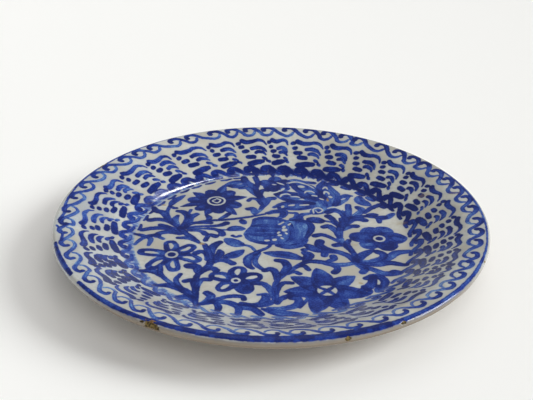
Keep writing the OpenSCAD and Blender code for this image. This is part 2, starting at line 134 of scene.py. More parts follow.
def spinTree():
    # a grid whose columns are the outline's points, wrapped once round the axis
    tree = bpy.data.node_groups.new("spinOutline", "GeometryNodeTree")
    sockets = {
        "Outline": "NodeSocketObject",
        "Steps Round": "NodeSocketInt",
        "Warp Height": "NodeSocketFloat",
        "Warp Seed": "NodeSocketFloat",
        "Finish": "NodeSocketMaterial",
    }
    for name, kind in sockets.items():
        tree.interface.new_socket(name, in_out="INPUT", socket_type=kind)
    tree.interface.new_socket("Geometry", in_out="OUTPUT", socket_type="NodeSocketGeometry")
    given = addNode(tree, "NodeGroupInput").outputs
    outline = addNode(tree, "GeometryNodeObjectInfo", {}, {"Object": given["Outline"]}).outputs["Geometry"]
    points = addNode(tree, "GeometryNodeAttributeDomainSize", {"component": "MESH"}, {"Geometry": outline})
    rows = addNode(tree, "ShaderNodeMath", {"operation": "ADD", 1: 1.0}, {0: given["Steps Round"]})
    grid = addNode(
        tree,
        "GeometryNodeMeshGrid",
        {"Size X": 1.0, "Size Y": 1.0},
        {"Vertices X": points.outputs["Point Count"], "Vertices Y": rows},
    )
    # which point of the outline and which step of the turn each corner of the grid is
    index = addNode(tree, "GeometryNodeInputIndex")
    share = addNode(tree, "ShaderNodeMath", {"operation": "DIVIDE"}, {0: index, 1: rows})
    column = addNode(tree, "ShaderNodeMath", {"operation": "FLOOR"}, {0: share})
    across = addNode(tree, "ShaderNodeMath", {"operation": "MULTIPLY"}, {0: column, 1: rows})
    row = addNode(tree, "ShaderNodeMath", {"operation": "SUBTRACT"}, {0: index, 1: across})
    part = addNode(tree, "ShaderNodeMath", {"operation": "DIVIDE"}, {0: row, 1: given["Steps Round"]})
    turn = addNode(tree, "ShaderNodeMath", {"operation": "MULTIPLY", 1: 2 * math.pi}, {0: part})
    where = addNode(tree, "GeometryNodeInputPosition")
    sampled = addNode(
        tree,
        "GeometryNodeSampleIndex",
        {"data_type": "FLOAT_VECTOR", "domain": "POINT"},
        {"Geometry": outline, "Value": where, "Index": column},
    )
    split = addNode(tree, "ShaderNodeSeparateXYZ", {}, {0: sampled.outputs["Value"]}).outputs
    cosine = addNode(tree, "ShaderNodeMath", {"operation": "COSINE"}, {0: turn})
    sine = addNode(tree, "ShaderNodeMath", {"operation": "SINE"}, {0: turn})
    xPlace = addNode(tree, "ShaderNodeMath", {"operation": "MULTIPLY"}, {0: split["X"], 1: cosine})
    yPlace = addNode(tree, "ShaderNodeMath", {"operation": "MULTIPLY"}, {0: split["X"], 1: sine})
    place = addNode(tree, "ShaderNodeCombineXYZ", {}, {0: xPlace, 1: yPlace, 2: split["Z"]})
    sheet = grid.outputs["Mesh"]
    spun = addNode(tree, "GeometryNodeSetPosition", {}, {"Geometry": sheet, "Position": place})
    closed = addNode(tree, "GeometryNodeMergeByDistance", {"Distance": 1e-6}, {"Geometry": spun})
    # slow warp from the kiln: nothing at the foot, most at the lip
    noise = addNode(
        tree,
        "ShaderNodeTexNoise",
        {"noise_dimensions": "4D", "Scale": 6.0, "Detail": 1.0},
        {"Vector": where, "W": given["Warp Seed"]},
    )
    level = addNode(tree, "ShaderNodeMath", {"operation": "SUBTRACT", 1: 0.5}, {0: noise})
    high = addNode(tree, "ShaderNodeSeparateXYZ", {}, {0: where}).outputs["Z"]
    lifted = addNode(
        tree,
        "ShaderNodeMapRange",
        {"From Min": 6 * mm, "From Max": bodyHigh.z, "To Min": 0.0, "To Max": 2.0},
        {"Value": high},
    )
    amount = addNode(tree, "ShaderNodeMath", {"operation": "MULTIPLY"}, {0: level, 1: lifted})
    lift = addNode(tree, "ShaderNodeMath", {"operation": "MULTIPLY"}, {0: amount, 1: given["Warp Height"]})
    rise = addNode(tree, "ShaderNodeCombineXYZ", {}, {2: lift})
    warped = addNode(tree, "GeometryNodeSetPosition", {}, {"Geometry": closed, "Offset": rise})
    real = addNode(tree, "GeometryNodeRealizeInstances", {}, {"Geometry": warped})
    done = addNode(tree, "GeometryNodeSetMaterial", {}, {"Geometry": real, "Material": given["Finish"]})
    addNode(tree, "NodeGroupOutput", {}, {"Geometry": done})
    return tree


def setInput(modifier, tree, name, value):
    for item in tree.interface.items_tree:
        if item.name == name and item.in_out == "INPUT":
            modifier[item.identifier] = value
            return
    raise KeyError(name)


def outlineObject(name, points):
    # an outline that starts on the axis also ends there; any other is closed by its first point again
    loop = list(points) if points[0][0] == 0 else list(points) + [points[0]]
    mesh = bpy.data.meshes.new(name)
    corners = [(r * mm, 0.0, z * mm) for r, z in loop]
    mesh.from_pydata(corners, [(i, i + 1) for i in range(len(corners) - 1)], [])
    return bpy.data.objects.new(name, mesh)


def spinSolid(name, points, stepsRound, material):
    guide = outlineObject(name + "Outline", points)
    holder = bpy.data.objects.new(name + "Spin", bpy.data.meshes.new(name + "Spin"))
    bpy.context.scene.collection.objects.link(guide)
    bpy.context.scene.collection.objects.link(holder)
    modifier = holder.modifiers.new("spin", "NODES")
    modifier.node_group = spin
    setInput(modifier, spin, "Outline", guide)
    setInput(modifier, spin, "Steps Round", stepsRound)
    setInput(modifier, spin, "Warp Height", dish["warp"] * mm)
    setInput(modifier, spin, "Warp Seed", dish["warpSeed"])
    setInput(modifier, spin, "Finish", material)
    shaped = holder.evaluated_get(bpy.context.evaluated_depsgraph_get())
    mesh = bpy.data.meshes.new_from_object(shaped)
    mesh.name = name
    piece = bpy.data.objects.new(name, mesh)
    bpy.context.scene.collection.objects.link(piece)
    holder.modifiers.remove(modifier)
    bpy.data.objects.remove(holder)
    bpy.data.objects.remove(guide)
    mesh.shade_smooth()
    mesh.set_sharp_from_angle(angle=math.radians(dish["sharpAngle"]))
    print("spun", name, len(mesh.vertices), "points,", len(mesh.polygons), "faces")
    return piece


# A canvas holds, for each point of the face, how far it lies outside the nearest stroke ("edge", mm),
# how much cobalt lies there ("load") and how much ran down the wall in the kiln ("wash"), which also holds a
# faint painted bluish sheen.


brush = {
    "ragged": 0.55,  # how uneven a stroke's edge is, mm
    "edgePool": 0.10,  # pigment gathers along the edges
    "watery": 0.42,  # uneven load from the wet brush
    "bristle": 0.36,  # streaks along the stroke
    "overlap": 0.12,  # a second stroke over the first is darker
    "spread": 0.35,  # cobalt spreads this far into the glaze in the fire, mm
}


def cloud(x, y, size, seed):
    # smooth noise from 0 to 1 with lumps of that size in mm
    gx = x / size + seed * 17.3
    gy = y / size - seed * 9.1
    ix = np.floor(gx)
    iy = np.floor(gy)
    fx = gx - ix
    fy = gy - iy
    fx = fx * fx * (3 - 2 * fx)
    fy = fy * fy * (3 - 2 * fy)

    def lattice(a, b):
        value = np.sin(a * 127.1 + b * 311.7 + seed * 74.7) * 43758.5453
        return value - np.floor(value)

    near = lattice(ix, iy) * (1 - fx) + lattice(ix + 1, iy) * fx
    far = lattice(ix, iy + 1) * (1 - fx) + lattice(ix + 1, iy + 1) * fx
    return near * (1 - fy) + far * fy


def ease(value, low, high):
    share = np.clip((value - low) / (high - low), 0.0, 1.0)
    return share * share * (3 - 2 * share)


def brushPath(points, gap=1.0):
    # smooth curve through the points, resampled about every gap mm
    p = np.array(points, float)
    p = np.vstack([2 * p[0] - p[1], p, 2 * p[-1] - p[-2]])
    path = []
    for i in range(1, len(p) - 2):
        steps = max(2, int(np.hypot(*(p[i + 1] - p[i])) / gap))
        u = np.linspace(0, 1, steps, endpoint=False)[:, None]
        path.append(
            0.5
            * (
                2 * p[i]
                + (p[i + 1] - p[i - 1]) * u
                + (2 * p[i - 1] - 5 * p[i] + 4 * p[i + 1] - p[i + 2]) * u**2
                + (3 * p[i] - p[i - 1] - 3 * p[i + 1] + p[i + 2]) * u**3
            )
        )
    return np.vstack(path + [p[-2:-1]])


def halfWidths(widths, share):
    start, middle, end = widths
    bend = start * (1 - share) * (1 - 2 * share) + 4 * middle * share * (1 - share)
    bend = bend + end * share * (2 * share - 1)
    return np.maximum(bend / 2, 0.35)


def touch(canvas, points, widths, reach=2.6):
    # points of the canvas near the stroke, with their distance outside it, share along and share across
    path = brushPath(points)
    share = np.linspace(0, 1, len(path))
    half = halfWidths(widths, share)
    margin = half.max() + reach
    low = path.min(0) - margin
    high = path.max(0) + margin
    x, y = canvas["x"], canvas["y"]
    near = np.flatnonzero((x > low[0]) & (x < high[0]) & (y > low[1]) & (y < high[1]))
    if len(near) == 0:
        return None
    best = np.full(len(near), 1e9)
    along = np.zeros(len(near))
    across = np.zeros(len(near))
    px, py = x[near], y[near]
    for i in range(len(path) - 1):
        ax, ay = path[i]
        dx, dy = path[i + 1] - path[i]
        t = np.clip(((px - ax) * dx + (py - ay) * dy) / (dx * dx + dy * dy + 1e-9), 0, 1)
        offX = px - ax - t * dx
        offY = py - ay - t * dy
        distance = np.hypot(offX, offY)
        width = half[i] + (half[i + 1] - half[i]) * t
        outside = distance - width
        closer = outside < best
        best = np.where(closer, outside, best)
        along = np.where(closer, share[i] + (share[i + 1] - share[i]) * t, along)
        sideways = (offX * dy - offY * dx) / (math.hypot(dx, dy) + 1e-9) / width
        across = np.where(closer, sideways, across)
    return near, best, along, across


def paint(canvas, stroke, tone=0.7, pool=0.22, seed=0, fade=0.0, worn=0.0):
    # one stroke of the loaded brush: pigment pools at its broad end and along its edges
    widths, points = stroke[0], stroke[1:]
    found = touch(canvas, points, widths)
    if found is None:
        return
    near, outside, along, across = found
    x, y = canvas["x"][near], canvas["y"][near]
    outside = outside - brush["spread"] + (cloud(x, y, 2.2, 1) - 0.5) * brush["ragged"]
    canvas["edge"][near] = np.minimum(canvas["edge"][near], outside)
    cover = 1 - ease(outside, -0.1, 0.9)
    fromBroadEnd = along if widths[0] >= widths[2] else 1 - along
    bristle = cloud(across * 2.3 + seed, along * 3 + seed, 1.0, 2) - 0.5
    pooled = pool * np.exp(-fromBroadEnd / 0.22) + brush["edgePool"] * ease(np.abs(across), 0.45, 1.0)
    watery = brush["watery"] * (cloud(x, y, 7, 3) - 0.5) + brush["bristle"] * bristle
    load = np.clip(tone * (1 - fade * along) + pooled + watery, 0.12, 1.0) * cover
    if worn > 0:
        load = load * (1 - worn * ease(cloud(x, y, 5, 6), 0.45, 0.8))
    old = canvas["load"][near]
    canvas["load"][near] = np.maximum(old, load) + brush["overlap"] * np.minimum(old, load)


def leaveBare(canvas, stroke):
    # glaze left showing inside a painted patch
    widths, points = stroke[0], stroke[1:]
    found = touch(canvas, points, widths)
    if found is None:
        return
    near, outside = found[0], found[1]
    x, y = canvas["x"][near], canvas["y"][near]
    outside = outside + (cloud(x, y, 1.8, 5) - 0.5) * brush["ragged"] * 0.7
    canvas["edge"][near] = np.maximum(canvas["edge"][near], -outside)
    canvas["load"][near] = canvas["load"][near] * ease(outside, -0.6, 0.4)


def fillShape(canvas, corners, tone):
    # a patch filled inside a smooth outline
    outline = brushPath(corners + corners[:1], gap=3.0)
    low, high = outline.min(0) - 3, outline.max(0) + 3
    near = np.flatnonzero(
        (canvas["x"] > low[0]) & (canvas["x"] < high[0]) & (canvas["y"] > low[1]) & (canvas["y"] < high[1])
    )
    x, y = canvas["x"][near], canvas["y"][near]
    inside = np.zeros(len(near), bool)
    away = np.full(len(near), 1e9)
    for (ax, ay), (bx, by) in zip(outline[:-1], outline[1:]):
        dx, dy = bx - ax, by - ay
        t = np.clip(((x - ax) * dx + (y - ay) * dy) / (dx * dx + dy * dy + 1e-9), 0, 1)
        away = np.minimum(away, np.hypot(x - ax - t * dx, y - ay - t * dy))
        crosses = ((ay > y) != (by > y)) & (x < dx * (y - ay) / (dy if abs(dy) > 1e-9 else 1e-9) + ax)
        inside ^= crosses
    outside = np.where(inside, -away, away) + (cloud(x, y, 2.2, 1) - 0.5) * brush["ragged"]
    canvas["edge"][near] = np.minimum(canvas["edge"][near], outside)
    streaks = cloud(x * 1.6, y * 0.35, 3.0, 4) - 0.5
    load = tone + 0.35 * streaks + brush["watery"] * (cloud(x, y, 9, 3) - 0.5)
    load = load * (1 - ease(outside, -0.1, 0.9))
    canvas["load"][near] = np.maximum(canvas["load"][near], np.clip(load, 0, 1))


def onRim(angle, radius):
    turn = math.radians(angle)
    return [radius * math.cos(turn), radius * math.sin(turn)]


def onRimStroke(widths, places):
    return [widths] + [onRim(a, r) for a, r in places]


# On the wall and the rim a place is (angle, radius): degrees turning left from the right hand side, and mm.
# In the well it is (x, y) in mm. A stroke is its widths at the start, middle and end, then its places.

border = {
    "scrollCrests": [
        4, 10, 16, 22, 28, 34, 39, 45, 52, 60, 65, 71, 77, 84, 91, 97, 103, 109, 117, 123, 131, 137,
        143, 150, 156, 163, 170, 178, 185, 190, 197, 204, 211, 217, 224, 230, 236, 242, 249, 256,
        263, 270, 276, 283, 290, 297, 303, 309, 315, 321, 327, 333, 338, 345, 351, 357,
    ],
    "darkCrests": [34, 45, 77, 109, 123],
    "commaGroups": [
        4, 15, 26, 37, 48, 60, 71, 84, 92, 104, 115, 129, 140, 153, 163, 175, 188, 201, 211, 222,
        234, 246, 259, 270, 283, 294, 307, 319, 329, 335, 344, 353,
    ],
    "fatGroups": [201, 211],
    "wellScrolls": 48,
    "scrollTone": 0.70,
    "commaTone": 0.70,
    "dotTone": 0.90,
    "wellTone": 0.66,
}


def towards(angle, side):
    # 1 on that side of the dish, falling to 0 a quarter turn away
    return max(0.0, math.cos(math.radians(angle - side)))


def paintScrolls(canvas):
    crests = border["scrollCrests"]
    for number, crest in enumerate(crests):
        before = crests[number - 1] - (360 if number == 0 else 0)
        dark = 0.16 if crest in border["darkCrests"] else 0
        hand = random.uniform(-0.04, 0.04)
        # the scrolls are low and light at the near side, tall and heavy at the far side
        near = towards(crest, 270)
        far = towards(crest, 76) ** 3
        low = 181.4 - 1.9 * near - 0.4 * far
        tall = 12.0 - 2.3 * near + 3.4 * far
        places = [
            (crest + 1.8, 0.60), (crest + 1.9, 0.82), (crest + 0.9, 1.0 + hand), (crest - 0.4, 0.98 + hand),
            (crest - 1.7, 0.72), (crest - 3.1, 0.35), (before + 2.1, 0.07), (before + 0.6, hand),
            (before - 0.7, 0.17), (before - 1.2, 0.47),
        ]
        places = [(a, low + tall * share) for a, share in places]
        tone = border["scrollTone"] + dark - 0.12 * near + 0.10 * far - 0.12 * towards(crest, 175)
        tone += random.uniform(-0.08, 0.08)
        widths = [w * (1 - 0.30 * near + 0.15 * far) for w in (4.8, 4.2, 2.4)]
        paint(canvas, onRimStroke(widths, places), tone, pool=0.3, fade=0.4, seed=number)


def paintWall(canvas):
    # a wave over three commas that shrink towards the well, and between them dots that grow
    starts = border["commaGroups"]
    for number, start in enumerate(starts):
        after = starts[(number + 1) % len(starts)]
        share = ((after - start) % 360) / 11.8
        near = towards(start + 5, 270)
        fat = 1.3 if start in border["fatGroups"] else random.uniform(0.92, 1.08) + 0.10 * near
        tone = border["commaTone"] + random.uniform(-0.08, 0.12) + (0.12 if fat > 1.2 else 0) + 0.15 * near
        tone -= 0.12 * towards(start, 165)
        seed = number * 7.3

        def at(*places):
            shift = random.uniform(-0.7, 0.7)
            return [(start + a * share + random.uniform(-0.2, 0.2), r + shift) for a, r in places]

        wave = at((0, 168.3), (1.1, 172.4), (3, 174.2), (5.4, 172.2), (7.3, 172), (8.8, 173.9))
        paint(canvas, onRimStroke([1.4 * fat, 4.2 * fat, 5.2 * fat], wave), tone, seed=seed)
        commas = [
            ([1.4, 4.4, 4.2], at((0.2, 160), (1.4, 164), (3.4, 165.6), (5.4, 164.6))),
            ([1.4, 3.8, 3.8], at((0.2, 155.5), (1.2, 158.3), (2.8, 159.6), (4.0, 158.6))),
            ([2, 3.2, 3], at((-0.2, 150), (0.5, 151.6), (1.4, 152.6))),
            ([2, 3, 2.8], at((-1.3, 146.5), (-0.8, 147.4), (-0.3, 148))),
        ]
        for widths, places in commas:
            paint(canvas, onRimStroke([w * fat for w in widths], places), tone - 0.05, seed=seed)
        dots = [
            ([4.2, 4.6, 4.2], at((10.0, 171.8), (10.5, 171.2))),
            ([4.2, 4.6, 4.2], at((9.0, 166.2), (9.6, 165.7))),
            ([4.2, 5, 4.2], at((7.2, 160.1), (8.8, 159.7))),
            ([4.4, 5.2, 4.4], at((4.8, 153.3), (7.4, 153.5))),
            ([4.5, 6.6, 5.5], at((1.5, 147.5), (4.3, 146.3), (7.3, 144.7))),
        ]
        for widths, places in dots:
            dot = onRimStroke([w * min(fat, 1.4) for w in widths], places)
            paint(canvas, dot, border["dotTone"], seed=seed)


def paintWellRing(canvas):
    # a running scroll round the well: a thick dark rope at the far right, partly painted shade in the turn
    # of the well there, faint at the near side
    step = 360 / border["wellScrolls"]
    for number in range(border["wellScrolls"]):
        a = number * step + 2
        far = 0.5 + 0.5 * math.cos(math.radians(a - 60))
        # the rope darkens towards the far right partly as painted shade
        tone = border["wellTone"] + 0.24 * far - 0.30 * towards(a, 285) - 0.10 * towards(a, 185)
        hook = [
            (a + 0.6, 136.2), (a + 2.0, 137.4), (a + 1.4, 139.6), (a - 0.6, 140.0), (a - 2.4, 137.6),
            (a - 4.2, 134.0), (a - 6.2, 131.8), (a - 8.4, 131.4),
        ]
        widths = [w * (0.9 + 0.2 * far) for w in (4.4, 4.6, 3.0)]
        paint(canvas, onRimStroke(widths, hook), tone, pool=0.2, seed=number)
        below = a - 2 + random.uniform(-0.6, 0.6)
        if 30 < a < 66:
            # heavy drops where the cobalt gathered, and a dark band along the turn of the well that is
            # partly painted shade in that crease
            drop = [(below - 1.8, 127.4), (below + 1.6, 126.6)]
            paint(canvas, onRimStroke([5.4, 6.4, 5.2], drop), 0.62, seed=number)
            band = [(a - 7, 131.8), (a - 3, 131.2), (a + 1, 131.8)]
            paint(canvas, onRimStroke([3.6, 4.6, 3.6], band), 0.95)
        elif 66 < a < 102:
            # drips that narrow towards the well
            drip = [(below, 134.5), (below - 0.4, 125.6)]
            paint(canvas, onRimStroke([7.5, 5.0, 1.4], drip), 0.84, seed=number)
        elif 106 < a < 178:
            # a second row of short dashes
            dash = [(below - 2.4, 126.4), (below, 125.4), (below + 2.4, 126.2)]
            paint(canvas, onRimStroke([2.2, 3.2, 2.2], dash), 0.72, seed=number)


def paintLipLine(canvas):
    # one quick turn of the brush on the lip, heavy at the near side and worn away in places
    runs = [
        ([5, 8.4, 7], 1.2, [(242, 195.2), (250, 194.8), (260, 194.4), (272, 194.2), (286, 194.6),
         (301, 196.4)]),
        ([5, 3.6, 1.2], 0.66, [(296, 196.2), (312, 197.2), (330, 197.6), (352, 197)]),
        ([1, 2.2, 1.4], 0.55, [(345, 197), (0, 196.5), (15, 196), (32, 196.5)]),
        ([1, 2.4, 2], 0.45, [(55, 198), (80, 199), (105, 199), (128, 198)]),
        ([1, 3.2, 2.4], 0.55, [(122, 197.5), (140, 197), (153, 197), (168, 197)]),
        ([1, 2.4, 2.4], 0.62, [(165, 196), (172, 195), (180, 193), (182, 190.5), (186, 196), (189, 195)]),
        ([2, 2.4, 2.4], 0.6, [(188, 195.5), (192, 190.5), (196, 192), (199, 196)]),
        ([3, 4.4, 4], 0.9, [(197, 197.6), (205, 197.8), (211, 197.8), (215.5, 197.6)]),
        ([3, 4.4, 4.4], 0.92, [(217.5, 197.6), (226, 197.4), (234, 196.8), (243, 195.6)]),
    ]
    for number, (widths, tone, places) in enumerate(runs):
        turned = [places[0]]
        for angle, radius in places[1:]:
            while angle < turned[-1][0]:
                angle += 360
            turned.append((angle, radius))
        # the line bends with the lip, so it is followed every few degrees
        angles = [a for a, _ in turned]
        fine = np.arange(angles[0], angles[-1], 4.0)
        radii = np.interp(fine, angles, [r for _, r in turned])
        paint(canvas, onRimStroke(widths, list(zip(fine, radii))), tone, seed=number, worn=0.3)


